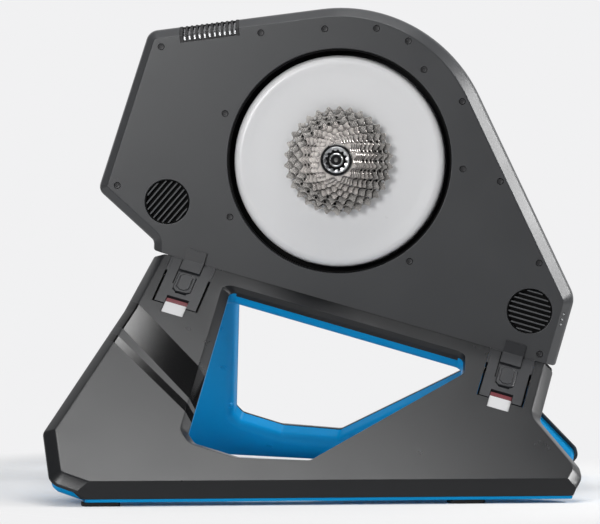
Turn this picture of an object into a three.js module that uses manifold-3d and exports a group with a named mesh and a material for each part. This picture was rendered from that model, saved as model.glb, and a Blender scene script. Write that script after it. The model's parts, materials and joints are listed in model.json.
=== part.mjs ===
// A direct drive bike trainer: a flat upright housing with a flywheel motor and a cassette on its axle,
// standing on two wide sloping side legs that fold up against it.
// Millimetres. +X is the front of the bike, -Y the drive side, +Z up, and the floor is Z = 0.
import * as THREE from "three";
import { mergeVertices } from "three/addons/utils/BufferGeometryUtils.js";
import Module from "manifold-3d";

const wasm = await Module();
wasm.setup();

// Gaps and steps that every piece shares
const SEAT_GAP = 0.3;
const SLIDE_GAP = 0.4;
const OVERRUN = 6;
const ARC_STEP = THREE.MathUtils.degToRad(9);
const TIGHT_ARC_STEP = THREE.MathUtils.degToRad(30);
const TIGHT_RADIUS = 26;
const ROUND_SEGMENTS = 48;
const MEDIUM_ROUND_SEGMENTS = 24;
const SMALL_ROUND_SEGMENTS = 16;
const LEAST_RADIUS_SHARE = 0.1;
const MERGE_DISTANCE = 1e-4;

// The axle, which holds the bike's rear dropouts
const AXLE = {
  forward: 5,
  height: 373,
  dropoutWidth: 135,
  driveReach: 92.5,
  radius: 10,
  bore: 6,
  capRadius: 7.4,
  capStub: 4.2,
  capPlug: 9,
  skewerBore: 4.5,
  nonDriveCapRadius: 9,
  nonDriveCapStub: 5.8,
};

// The upright housing, in two shells with a narrow band between them
const BODY = {
  thickness: 80,
  crownRadius: 177,
  wall: 3,
  chamferWidth: 11,
  slantChamferWidth: 13.5,
  chamferDepth: 15,
  rearReach: 257.6,
  lowerRearReach: 213.4,
  heelHeight: 10.609,
  seamDrop: 158,
  toeReach: 302.7,
  rearTopCorner: 15,
  rearCorner: 12,
  heelCorner: 8,
  seamCorner: 3,
  frontCorner: 25,
  topSlope: 8,
  rearLean: 73,
  lowerRearLean: 138.7,
  seamSlope: 15,
  toeHeight: 81.897,
};
const BAND = { width: 11.4, recess: 1.5, wall: 3, gap: 0.3 };
const WELL = { gap: 7.6, wall: 2.5, depth: 28 };

// The flywheel motor
const ROTOR = {
  radius: 121.4,
  face: 39,
  rimRounding: 8,
  rimWall: 4.2,
  rimBack: -5,
  dish: 0.8,
  dishInset: 24,
  discWall: 4,
  sleeveBore: 17.3,
  sleeveRadius: 22,
  sleeveBack: -6,
  coveShare: 0.5,
};
const MAGNETS = { wall: 4.6, back: -3, front: 25.8 };
const STATOR = { airGap: 1, depth: 26.3, yoke: 8, teeth: 12, back: -3, front: 25 };
const TOOTH_WIDTH_SHARE = 0.4518;
const WINDING = { endTurn: 4, sideGap: 0.6, rootGap: 0.5, tipGap: 3 };
const BEARING = { width: 7, back: -4.5, front: 27 };

// The inner frame, which carries the axle, the motor and the hinges
const FRAME = {
  plateFront: -18,
  plateWall: 8,
  edgeGap: 5,
  bossRadius: 28,
  bossBack: -36.5,
  bossFront: -12,
  cupWall: 6.5,
  cupFront: 20,
  beamHeelInset: 42.7,
  beamToeInset: 14.7,
  rotorGap: 11.6,
  beamWidth: 54,
};
const BOARD = {
  toeInset: 102.7,
  drop: 65,
  length: 90,
  width: 48,
  wall: 1.6,
  standoff: 6,
  standoffRadius: 4,
  standoffInset: 8,
  part: 14,
};
const BOARD_PART_SHARES = [0.2, 0.45, 0.7];
const INLET = { along: -150, drop: 60, radius: 9, depth: 12, socket: 6.2, pin: 1.5, floor: 2 };

// The vents
const ROUND_VENT = { radius: 25.5, rim: 2.6, depth: 5, pitch: 6, slot: 3.2, flushBy: 0.4 };
const REAR_VENT = { insets: [83.1, 45], slant: 50 };
const FRONT_VENT = { insets: [52.7, 45.5], slant: -15 };
const TOP_VENT = {
  rear: -165,
  front: -96.4,
  faceDrop: 8,
  slots: 11,
  slot: 3.4,
  endRim: 2,
  spine: 14,
  lowRim: 2,
};
const HEAT_SINK = { base: 6, drop: 42, halfWidth: 30, fin: 1.6 };

// The cassette, from the 30 tooth sprocket next to the flywheel out to the 11 tooth one
const CASSETTE = {
  chainPitch: 12.7,
  largePlane: 49.5,
  spacing: 3.74,
  plate: 1.8,
  tipRise: 2.4,
  rootDrop: 3.6,
  bore: 17.3,
  bossRadius: 18.4,
  midBoss: 24,
};
const LARGE_CLUSTER = {
  teeth: [30, 27, 24],
  ringWall: 12,
  arms: 5,
  armWidth: 15,
  armReach: 43.5,
  hubRadius: 25,
};
const MID_CLUSTER_TEETH = [21, 19, 17];
const SINGLE_TEETH = [15, 14, 13, 12, 11];
const TIP_SHARES = [-0.14, 0.14];
const ROOT_SHARE = 0.5;
const FREEHUB = { radius: 17, flangeRadius: 24, flange: 6.5, endSetback: 1.2 };
const LOCKRING = { radius: 17.8, bore: 11.2, wall: 2 };

// The legs: two flat slabs that hang from the housing's lower edges and splay outwards
const LEG = {
  splay: 54.25,
  thickness: 27.4,
  shell: 11.2,
  innerInset: 4,
  innerBevelWidth: 12,
  innerBevelDepth: 10,
  skirtWall: 3,
  rearOverhang: 77,
  frontOverhang: 110.3,
  noseSetback: 5.1,
  noseRise: 15,
  bevelWidth: 12,
  bevelDepth: 8.5,
  topGap: 0.6,
  lipTop: 27,
  floorGap: 4.4,
  trim: 3.4,
};
// Corners as shares of the leg's length and of its slope to the floor, then a radius as a share of its
// thickness, a share of the bevel on the edge that follows, and a share of the step over the toe's nose
const LEG_OUTLINE_SHARES = [
  [0.053, -0.0453, 0, 1, 0],
  [0.044, 0.2323, 2, 1, 0],
  [0, 0.709, 0.5, 1, 0],
  [0.051, 0.881, 0.7, 1, 0],
  [0.178, 0.9585, 0, 0, 0],
  [0.979, 0.995, 0.5, 1, 0],
  [1, 0.7406, 0.3, 1, 0],
  [1, 0.7406, 0.3, 1, 1],
  [0.893, 0.3646, 0.6, 1, 0],
  [0.893, -0.0848, 0, 0, 0],
];
// Corners as shares of the window's length and of the slope to the floor under its top
const WINDOW = { rearGap: 24, frontGap: 21.7, top: 25, corner: 9 };
const WINDOW_CORNER_SHARES = [
  [0, 0],
  [0.064, 0.6565],
  [0.099, 0.6939],
  [0.287, 0.7443],
  [0.539, 0.733],
  [1, 0.1033],
  [0.9855, 0],
];
const FOOT = { length: 40, width: 18, setback: 1.5, corner: 4, rearInset: 70.7, frontInset: 124.7 };

// The hinges, each a bracket on the housing that fills a cut in the leg's top edge
const HINGE = {
  heelInset: 85.7,
  toeInset: 50,
  cutWidth: 54,
  cutDrop: 88,
  bracketWidth: 48.6,
  bracketDrop: 86,
  bracketDepth: 24,
  rootInner: 12,
  rootDrop: 22,
  rootStart: 5,
  slabStart: 10,
  axisDrop: 27.1,
  axisDepth: 12,
  pinRadius: 4,
  pinLength: 80,
  strapWidth: 24,
  strapRaise: 2.5,
  strapRise: 13.5,
  strapEnd: 22,
};
const BUTTON = { top: 25.5, bottom: 61, width: 21, corner: 5, raise: 2.4, sunk: 2.4, travel: 3 };
const TAB = { top: 73, bottom: 102, width: 25.2, sunk: 2, wall: 6, travel: 6, notchRise: 2 };

// Colours
const DARK_GREY = 0x4a4b4e;
const BLACK = 0x1c1d1f;
const SATIN_BLACK = 0x303133;
const WHITE = 0xe9e9ea;
const BLUE = 0x1187c4;
const STEEL = 0xa9a7a3;
const ALUMINIUM = 0xc3c5c8;
const COPPER = 0x9a5a34;
const BOARD_GREEN = 0x1f4d33;
const RUBBER = 0x161616;

// Solids: closed meshes that can be joined and cut

function solidOf(geometry) {
  const bare = new THREE.BufferGeometry();
  const source = geometry.index ? geometry.toNonIndexed() : geometry;
  bare.setAttribute("position", source.getAttribute("position"));
  const merged = mergeVertices(bare, MERGE_DISTANCE);
  return new wasm.Manifold(
    new wasm.Mesh({
      numProp: 3,
      vertProperties: merged.attributes.position.array,
      triVerts: new Uint32Array(merged.index.array),
    }),
  );
}

function geometryOf(solid) {
  const mesh = solid.getMesh();
  const geometry = new THREE.BufferGeometry();
  geometry.setAttribute("position", new THREE.BufferAttribute(mesh.vertProperties, mesh.numProp));
  geometry.setIndex(new THREE.BufferAttribute(mesh.triVerts, 1));
  return geometry;
}

function joined(...geometries) {
  const solids = geometries.map(solidOf);
  return geometryOf(solids.reduce((whole, piece) => whole.add(piece)));
}

function cut(geometry, ...tools) {
  return geometryOf(tools.reduce((left, tool) => left.subtract(solidOf(tool)), solidOf(geometry)));
}

function shared(first, second) {
  return geometryOf(solidOf(first).intersect(solidOf(second)));
}

// A closed solid through rings of points, each ring a list of points in the plane and its height z.
function loft(rings) {
  const count = rings[0].points.length;
  const positions = [];
  const indices = [];
  for (const ring of rings) {
    for (const point of ring.points) positions.push(point.x, point.y, ring.z);
  }
  for (let level = 0; level + 1 < rings.length; level += 1) {
    for (let i = 0; i < count; i += 1) {
      const next = (i + 1) % count;
      const low = level * count;
      const high = low + count;
      indices.push(low + i, low + next, high + next, low + i, high + next, high + i);
    }
  }
  const last = (rings.length - 1) * count;
  for (const [a, b, c] of THREE.ShapeUtils.triangulateShape(rings[0].points, [])) indices.push(a, c, b);
  for (const [a, b, c] of THREE.ShapeUtils.triangulateShape(rings.at(-1).points, [])) {
    indices.push(last + a, last + b, last + c);
  }
  const geometry = new THREE.BufferGeometry();
  geometry.setAttribute("position", new THREE.Float32BufferAttribute(positions, 3));
  geometry.setIndex(indices);
  return geometry;
}

function prism(points, from, to) {
  return loft([{ points, z: from }, { points, z: to }]);
}

function box(x0, x1, y0, y1, z0, z1) {
  const geometry = new THREE.BoxGeometry(x1 - x0, y1 - y0, z1 - z0);
  return geometry.translate((x0 + x1) / 2, (y0 + y1) / 2, (z0 + z1) / 2);
}

// A turned solid about the z axis, from a closed profile of [radius, z] points in anticlockwise order.
function turned(profile, segments = ROUND_SEGMENTS) {
  const points = [...profile, profile[0]].map(([radius, z]) => new THREE.Vector2(radius, z));
  return new THREE.LatheGeometry(points, segments).rotateX(Math.PI / 2);
}

function tube(bore, radius, from, to, segments = ROUND_SEGMENTS) {
  return turned([[bore, from], [radius, from], [radius, to], [bore, to]], segments);
}

function rod(radius, from, to, segments = ROUND_SEGMENTS) {
  const geometry = new THREE.CylinderGeometry(radius, radius, to - from, segments);
  return geometry.rotateX(Math.PI / 2).translate(0, 0, (from + to) / 2);
}

// Where two lines meet, each given by its outward normal's angle and its distance from the origin.
function meeting(first, second) {
  const span = Math.sin(second.angle - first.angle);
  return new THREE.Vector2(
    (first.distance * Math.sin(second.angle) - second.distance * Math.sin(first.angle)) / span,
    (second.distance * Math.cos(first.angle) - first.distance * Math.cos(second.angle)) / span,
  );
}

// The edges of a polygon of corners [x, y, radius], as lines; each keeps the radius at its far end.
function edgesOf(corners) {
  return corners.map(([x, y], i) => {
    const [nextX, nextY, radius] = corners[(i + 1) % corners.length];
    const angle = Math.atan2(x - nextX, nextY - y);
    return { angle, distance: x * Math.cos(angle) + y * Math.sin(angle), radius };
  });
}

// The corners of a run of edges drawn in by insetOf(edge), each with its radius and the length it takes up.
function roundedCorners(edges, insetOf) {
  const lines = edges.map((edge) => ({ ...edge, distance: edge.distance - insetOf(edge) }));
  return lines.map((line, i) => {
    const next = lines[(i + 1) % lines.length];
    const turn = Math.atan2(Math.sin(next.angle - line.angle), Math.cos(next.angle - line.angle));
    const drawnIn = Math.max(insetOf(edges[i]), insetOf(edges[(i + 1) % edges.length]));
    const wanted = line.radius - Math.sign(turn) * drawnIn;
    const radius = line.radius && Math.max(wanted, line.radius * LEAST_RADIUS_SHARE);
    const tangent = radius * Math.tan(Math.abs(turn) / 2);
    const arcStep = line.radius < TIGHT_RADIUS ? TIGHT_ARC_STEP : ARC_STEP;
    return { point: meeting(line, next), angle: line.angle, turn, radius, tangent, arcStep };
  });
}

// The outline of a run of edges, with an arc at each corner no larger than its edges have room for.
function outline(edges, insetOf = () => 0) {
  const corners = roundedCorners(edges, insetOf);
  const room = corners.map(({ point, tangent }, i) => {
    const before = corners.at(i - 1);
    return before.point.distanceTo(point) / (before.tangent + tangent);
  });
  return corners.flatMap(({ point, angle, turn, radius, arcStep }, i) => {
    if (!radius) return [point];
    const arm = Math.min(1, room[i], room[(i + 1) % room.length]) * radius * Math.sign(turn);
    const reach = arm / Math.cos(turn / 2);
    const middle = angle + turn / 2;
    const centre = new THREE.Vector2(point.x - reach * Math.cos(middle), point.y - reach * Math.sin(middle));
    const steps = Math.max(1, Math.ceil(Math.abs(turn) / arcStep));
    return Array.from({ length: steps + 1 }, (_, step) => {
      const stop = angle + (turn * step) / steps;
      return new THREE.Vector2(centre.x + arm * Math.cos(stop), centre.y + arm * Math.sin(stop));
    });
  });
}

const radians = THREE.MathUtils.degToRad;

function piece(parent, name, geometry, color, roughness, metalness) {
  geometry.deleteAttribute("normal");
  const shown = geometry.index ? geometry.toNonIndexed() : geometry;
  shown.computeVertexNormals();
  const mesh = new THREE.Mesh(shown, new THREE.MeshStandardMaterial({ color, roughness, metalness }));
  mesh.name = name;
  parent.add(mesh);
  return mesh;
}

// The side view frame: x to the front, y up, z out to the drive side, with the axle's centre as its origin.
const trainer = new THREE.Group();
const sideView = new THREE.Group();
sideView.position.set(AXLE.forward, 0, AXLE.height);
sideView.rotation.x = Math.PI / 2;
trainer.add(sideView);

// The seam frame: x down along the sloping lower edge of the housing, y square to it.
const seamMatrix = new THREE.Matrix4().makeRotationZ(-radians(BODY.seamSlope));
const seamView = new THREE.Group();
seamView.applyMatrix4(seamMatrix);
sideView.add(seamView);

// The leg frame: x along the seam, -y down the leg's outer face, z out of that face.
const legMatrix = new THREE.Matrix4()
  .makeTranslation(0, -BODY.seamDrop, BODY.thickness / 2)
  .multiply(new THREE.Matrix4().makeRotationX(-radians(LEG.splay)));

// The housing's outline

const HALF = BODY.thickness / 2;
const wellRadius = ROTOR.radius + WELL.gap;

const bodyEdge = (angle, distance, radius, chamfer = BODY.chamferWidth) => ({
  angle: radians(angle),
  distance,
  radius,
  chamfer,
});
const seamEdge = bodyEdge(270 - BODY.seamSlope, BODY.seamDrop, BODY.seamCorner, 0);
const toeEdge = bodyEdge(-BODY.seamSlope, BODY.toeReach, BODY.frontCorner);
const rearEdge = bodyEdge(90 + BODY.rearLean, BODY.rearReach, BODY.rearCorner);
const lowerRearEdge = bodyEdge(90 + BODY.lowerRearLean, BODY.lowerRearReach, BODY.heelCorner);

// The heel is the upright edge between the lower rear edge and the seam, where they are its height apart.
const heelSpread = Math.abs(1 / Math.tan(lowerRearEdge.angle) - 1 / Math.tan(seamEdge.angle));
const heelReach = BODY.heelHeight / heelSpread - meeting(lowerRearEdge, seamEdge).x;
const rearHinge = HINGE.heelInset - heelReach;
const frontHinge = BODY.toeReach - HINGE.toeInset;
const boardAlong = BODY.toeReach - BOARD.toeInset;

// The slanting front edge runs from the top of the toe and touches the crown's circle.
function slantEdge() {
  const rise = new THREE.Vector2(-Math.sin(toeEdge.angle), Math.cos(toeEdge.angle));
  const toeTop = meeting(seamEdge, toeEdge).addScaledVector(rise, BODY.toeHeight);
  const angle = toeTop.angle() + Math.acos(BODY.crownRadius / toeTop.length());
  return {
    angle: angle - 2 * Math.PI,
    distance: BODY.crownRadius,
    radius: BODY.crownRadius,
    chamfer: BODY.slantChamferWidth,
  };
}

const bodyEdges = [
  bodyEdge(90 + BODY.topSlope, BODY.crownRadius, BODY.rearTopCorner),
  rearEdge,
  lowerRearEdge,
  bodyEdge(180, heelReach, BODY.seamCorner),
  seamEdge,
  toeEdge,
  slantEdge(),
];

// A vent's centre, from how far it lies inside each of two edges.
function ventCentre(edges, insets) {
  const [first, second] = edges.map((edge, i) => ({ ...edge, distance: edge.distance - insets[i] }));
  return meeting(first, second);
}

const rearVentCentre = ventCentre([rearEdge, lowerRearEdge], REAR_VENT.insets);
const frontVentCentre = ventCentre([seamEdge, toeEdge], FRONT_VENT.insets);

const bodyOutline = (inset) => outline(bodyEdges, () => inset);
const chamferedOutline = (wall) => outline(bodyEdges, (edge) => wall + edge.chamfer);

// The top vent's frame: x along the housing's sloping top edge, y square to it.
const topMatrix = new THREE.Matrix4().makeRotationZ(radians(BODY.topSlope));

function topVentBlock(gap) {
  const low = BODY.crownRadius - BODY.chamferWidth - TOP_VENT.faceDrop - gap;
  const block = box(
    TOP_VENT.rear - gap,
    TOP_VENT.front + gap,
    low,
    BODY.crownRadius + OVERRUN,
    -HALF - OVERRUN,
    HALF + OVERRUN,
  );
  return block.applyMatrix4(topMatrix);
}

// One housing shell, drawn on the drive side; the other is its mirror image.
function housingShell(hasWell) {
  const back = BAND.width / 2 + BAND.gap;
  const shoulder = HALF - BODY.chamferDepth;
  const outside = loft([
    { points: bodyOutline(0), z: back },
    { points: bodyOutline(0), z: shoulder },
    { points: chamferedOutline(0), z: HALF },
  ]);
  const inside = loft([
    { points: bodyOutline(BODY.wall), z: back - OVERRUN },
    { points: bodyOutline(BODY.wall), z: shoulder - BODY.wall / 2 },
    { points: chamferedOutline(BODY.wall), z: HALF - BODY.wall },
  ]);
  const vents = [rearVentCentre, frontVentCentre].map((centre) =>
    rod(
      ROUND_VENT.radius + SEAT_GAP,
      HALF - BODY.wall - OVERRUN,
      HALF + OVERRUN,
      MEDIUM_ROUND_SEGMENTS,
    ).translate(centre.x, centre.y, 0),
  );
  const shell = cut(outside, inside, topVentBlock(SEAT_GAP), ...vents);
  if (hasWell) {
    const collar = tube(wellRadius, wellRadius + WELL.wall, HALF - WELL.depth, HALF - BODY.wall / 2);
    const opening = rod(wellRadius, 0, HALF + OVERRUN);
    return cut(joined(shell, collar), opening);
  }
  const capHole = rod(AXLE.nonDriveCapRadius + SEAT_GAP, 0, HALF + OVERRUN, SMALL_ROUND_SEGMENTS);
  const inletHole = rod(INLET.radius + SEAT_GAP, 0, HALF + OVERRUN, SMALL_ROUND_SEGMENTS);
  inletHole.translate(INLET.along, -INLET.drop, 0).applyMatrix4(seamMatrix);
  return cut(shell, capHole, inletHole);
}

function addHousing() {
  piece(sideView, "housing_drive_side", housingShell(true), DARK_GREY, 0.45, 0.1);
  piece(sideView, "housing_non_drive_side", housingShell(false), DARK_GREY, 0.45, 0.1).scale.z = -1;

  const half = BAND.width / 2;
  const band = cut(
    prism(bodyOutline(BAND.recess), -half, half),
    prism(bodyOutline(BAND.recess + BAND.wall), -half - OVERRUN, half + OVERRUN),
    topVentBlock(SEAT_GAP),
  );
  piece(sideView, "edge_band", band, BLACK, 0.6, 0);
}

// The vents

function roundVent(centre, slant) {
  const front = HALF - ROUND_VENT.flushBy;
  const back = front - ROUND_VENT.depth;
  const inner = ROUND_VENT.radius - ROUND_VENT.rim;
  const count = Math.floor((2 * inner) / ROUND_VENT.pitch);
  const slots = Array.from({ length: count }, (_, i) => {
    const offset = (i - (count - 1) / 2) * ROUND_VENT.pitch;
    const reach = Math.sqrt(inner ** 2 - (Math.abs(offset) + ROUND_VENT.slot / 2) ** 2);
    const half = ROUND_VENT.slot / 2;
    return box(-reach, reach, offset - half, offset + half, back - OVERRUN, front + OVERRUN);
  });
  const disc = rod(ROUND_VENT.radius, back, front, MEDIUM_ROUND_SEGMENTS);
  return cut(disc, ...slots).rotateZ(radians(slant)).translate(centre.x, centre.y, 0);
}

function topVentProfile(wall) {
  const top = BODY.crownRadius - wall;
  const shoulder = HALF - BODY.chamferDepth - wall / 2;
  const side = HALF - wall;
  const bevelEnd = BODY.crownRadius - BODY.chamferWidth - wall / 2;
  return { top, shoulder, side, bevelEnd };
}

// A block along the housing's top edge whose section is the housing's own, drawn in by a wall, down to low.
function topBlock(wall, low, from, to) {
  const { top, shoulder, side, bevelEnd } = topVentProfile(wall);
  const section = [
    [-side, low],
    [side, low],
    [side, bevelEnd],
    [shoulder, top],
    [-shoulder, top],
    [-side, bevelEnd],
  ].map(([z, y]) => new THREE.Vector2(-z, y));
  return prism(section.reverse(), from, to).rotateY(Math.PI / 2);
}

function ventPitch() {
  return (TOP_VENT.front - TOP_VENT.rear - 2 * TOP_VENT.endRim) / TOP_VENT.slots;
}

function addTopVent() {
  const low = BODY.crownRadius - BODY.chamferWidth - TOP_VENT.faceDrop;
  const cover = topBlock(0, low, TOP_VENT.rear, TOP_VENT.front);
  const hollow = topBlock(BODY.wall, low - OVERRUN, TOP_VENT.rear - OVERRUN, TOP_VENT.front + OVERRUN);
  const slots = Array.from({ length: TOP_VENT.slots }, (_, i) => {
    const middle = TOP_VENT.rear + TOP_VENT.endRim + ventPitch() * (i + 0.5);
    const half = TOP_VENT.slot / 2;
    return [-1, 1].map((side) => {
      const near = side * TOP_VENT.spine;
      const far = side * (HALF + OVERRUN);
      return box(
        middle - half,
        middle + half,
        low + TOP_VENT.lowRim,
        BODY.crownRadius + OVERRUN,
        Math.min(near, far),
        Math.max(near, far),
      );
    });
  });
  const grille = cut(cover, hollow, ...slots.flat()).applyMatrix4(topMatrix);
  piece(sideView, "top_vent_grille", grille, BLACK, 0.55, 0);
}

function addHeatSink() {
  const wall = BODY.wall + SEAT_GAP;
  const low = BODY.crownRadius - HEAT_SINK.drop;
  const half = HEAT_SINK.halfWidth;
  const base = box(
    TOP_VENT.rear + TOP_VENT.endRim,
    TOP_VENT.front - TOP_VENT.endRim,
    low,
    low + HEAT_SINK.base,
    -half,
    half,
  );
  const fins = Array.from({ length: TOP_VENT.slots }, (_, i) => {
    const middle = TOP_VENT.rear + TOP_VENT.endRim + ventPitch() * (i + 0.5);
    return topBlock(wall, low + HEAT_SINK.base / 2, middle - HEAT_SINK.fin / 2, middle + HEAT_SINK.fin / 2);
  });
  piece(sideView, "heat_sink", joined(base, ...fins).applyMatrix4(topMatrix), ALUMINIUM, 0.35, 0.9);
}

function addVents() {
  const rear = roundVent(rearVentCentre, REAR_VENT.slant);
  const front = roundVent(frontVentCentre, FRONT_VENT.slant);
  for (const [place, grille] of [["rear", rear], ["front", front]]) {
    piece(sideView, `vent_grille_${place}_drive`, grille, BLACK, 0.55, 0);
    piece(sideView, `vent_grille_${place}_non_drive`, grille.clone(), BLACK, 0.55, 0).scale.z = -1;
  }
  addTopVent();
  addHeatSink();
}

// The inner frame and the electrics

const statorRadius = ROTOR.radius - ROTOR.rimWall - SEAT_GAP - MAGNETS.wall - STATOR.airGap;
const statorInnerRadius = statorRadius - STATOR.depth;

function addFrame() {
  const plateBack = FRAME.plateFront - FRAME.plateWall;
  const underHeatSink = BODY.crownRadius - HEAT_SINK.drop - SEAT_GAP;
  const above = box(
    -BODY.toeReach,
    BODY.toeReach,
    underHeatSink,
    underHeatSink + BODY.toeReach,
    plateBack - OVERRUN,
    FRAME.plateFront + OVERRUN,
  ).applyMatrix4(topMatrix);
  const plate = cut(prism(bodyOutline(BODY.wall + FRAME.edgeGap), plateBack, FRAME.plateFront), above);
  const beamRear = FRAME.beamHeelInset - heelReach;
  const beamFront = BODY.toeReach - FRAME.beamToeInset;
  const beamLow = -(BODY.seamDrop - BAND.recess - BAND.wall - SEAT_GAP);
  const half = FRAME.beamWidth / 2;
  const beamTop = -(ROTOR.radius + FRAME.rotorGap);
  const beam = box(beamRear, beamFront, beamLow, beamTop, -half, half).applyMatrix4(seamMatrix);
  const boss = rod(FRAME.bossRadius, FRAME.bossBack, FRAME.bossFront, MEDIUM_ROUND_SEGMENTS);
  const cupRadius = statorInnerRadius - SEAT_GAP;
  const cup = tube(cupRadius - FRAME.cupWall, cupRadius, plateBack, FRAME.cupFront);
  const standoffs = boardCorners().map(([x, y]) => {
    const top = FRAME.plateFront + BOARD.standoff;
    const post = rod(BOARD.standoffRadius, plateBack, top, SMALL_ROUND_SEGMENTS);
    return post.translate(x, y, 0).applyMatrix4(seamMatrix);
  });
  const axleHole = rod(
    AXLE.radius + SEAT_GAP,
    FRAME.bossBack - OVERRUN,
    FRAME.bossFront + OVERRUN,
    MEDIUM_ROUND_SEGMENTS,
  );
  const frame = cut(joined(plate, beam, boss, cup, ...standoffs), axleHole);
  piece(sideView, "main_frame", frame, ALUMINIUM, 0.5, 0.8);
}

function boardCorners() {
  return [-1, 1].flatMap((x) =>
    [-1, 1].map((y) => [
      boardAlong + x * (BOARD.length / 2 - BOARD.standoffInset),
      -BOARD.drop + y * (BOARD.width / 2 - BOARD.standoffInset),
    ]),
  );
}

function addElectrics() {
  const back = FRAME.plateFront + BOARD.standoff + SEAT_GAP;
  const front = back + BOARD.wall;
  const left = boardAlong - BOARD.length / 2;
  const bottom = -BOARD.drop - BOARD.width / 2;
  const board = box(left, left + BOARD.length, bottom, bottom + BOARD.width, back, front);
  const parts = BOARD_PART_SHARES.map((share) => {
    const x = left + BOARD.length * share;
    const y = bottom + (BOARD.width - BOARD.part) / 2;
    return box(x, x + BOARD.part, y, y + BOARD.part, front - BOARD.wall / 2, front + BOARD.part);
  });
  piece(seamView, "control_board", joined(board, ...parts), BOARD_GREEN, 0.6, 0.1);

  const face = HALF - ROUND_VENT.flushBy;
  const socketFloor = face - INLET.depth + INLET.floor;
  const inlet = joined(
    cut(
      rod(INLET.radius, face - INLET.depth, face, SMALL_ROUND_SEGMENTS),
      rod(INLET.socket, socketFloor, face + OVERRUN, SMALL_ROUND_SEGMENTS),
    ),
    rod(INLET.pin, socketFloor - INLET.floor / 2, face - INLET.floor, SMALL_ROUND_SEGMENTS),
  ).translate(INLET.along, -INLET.drop, 0);
  piece(seamView, "power_inlet", inlet, BLACK, 0.4, 0).scale.z = -1;
}

// The motor and its bearings on the axle

function addAxle() {
  const caps = AXLE.driveReach - AXLE.capStub;
  const nonDriveEnd = AXLE.driveReach - AXLE.dropoutWidth;
  const nonDriveShaftEnd = nonDriveEnd + AXLE.nonDriveCapStub;
  const shaftBack = nonDriveShaftEnd + SEAT_GAP;
  const shaft = tube(AXLE.bore, AXLE.radius, shaftBack, caps - SEAT_GAP, MEDIUM_ROUND_SEGMENTS);
  piece(sideView, "axle_shaft", shaft, STEEL, 0.3, 1);

  const endCap = (radius, stub) =>
    turned(
      [
        [AXLE.skewerBore, -AXLE.capPlug],
        [AXLE.bore - SEAT_GAP, -AXLE.capPlug],
        [AXLE.bore - SEAT_GAP, 0],
        [radius, 0],
        [radius, stub],
        [AXLE.skewerBore, stub],
      ],
      SMALL_ROUND_SEGMENTS,
    );
  const nearCap = endCap(AXLE.capRadius, AXLE.capStub).translate(0, 0, caps);
  piece(sideView, "axle_end_cap_drive", nearCap, ALUMINIUM, 0.3, 1);
  const farCap = endCap(AXLE.nonDriveCapRadius, AXLE.nonDriveCapStub).translate(0, 0, -nonDriveShaftEnd);
  piece(sideView, "axle_end_cap_non_drive", farCap, ALUMINIUM, 0.3, 1).scale.z = -1;

  const bearings = [["rotor_bearing_inner", BEARING.back], ["rotor_bearing_outer", BEARING.front]];
  for (const [name, back] of bearings) {
    const ring = tube(
      AXLE.radius + SEAT_GAP,
      ROTOR.sleeveBore - SEAT_GAP,
      back,
      back + BEARING.width,
      MEDIUM_ROUND_SEGMENTS,
    );
    piece(sideView, name, ring, STEEL, 0.25, 1);
  }
}

function addRotor() {
  const rimInner = ROTOR.radius - ROTOR.rimWall;
  const discBack = ROTOR.face - ROTOR.discWall;
  const cove = ROTOR.discWall * ROTOR.coveShare;
  const roundCentre = { radius: ROTOR.radius - ROTOR.rimRounding, z: ROTOR.face - ROTOR.rimRounding };
  const steps = 2;
  const rounded = Array.from({ length: steps + 1 }, (_, i) => {
    const angle = (Math.PI / 2) * (i / steps);
    return [
      roundCentre.radius + ROTOR.rimRounding * Math.cos(angle),
      roundCentre.z + ROTOR.rimRounding * Math.sin(angle),
    ];
  });
  const profile = [
    [ROTOR.sleeveBore, ROTOR.sleeveBack],
    [ROTOR.sleeveRadius, ROTOR.sleeveBack],
    [ROTOR.sleeveRadius, discBack - cove - ROTOR.dish],
    [ROTOR.sleeveRadius + cove, discBack - ROTOR.dish],
    [rimInner - ROTOR.rimRounding, discBack - ROTOR.dish],
    [rimInner, discBack - ROTOR.rimRounding - ROTOR.dish],
    [rimInner, ROTOR.rimBack],
    [ROTOR.radius, ROTOR.rimBack],
    ...rounded,
    [ROTOR.radius - ROTOR.dishInset, ROTOR.face - ROTOR.dish],
    [ROTOR.sleeveBore, ROTOR.face - ROTOR.dish],
  ];
  piece(sideView, "rotor_bell", turned(profile, ROUND_SEGMENTS), WHITE, 0.35, 0);

  const magnetOuter = rimInner - SEAT_GAP;
  const magnets = tube(magnetOuter - MAGNETS.wall, magnetOuter, MAGNETS.back, MAGNETS.front);
  piece(sideView, "magnet_ring", magnets, SATIN_BLACK, 0.5, 0.5);
}

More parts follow.
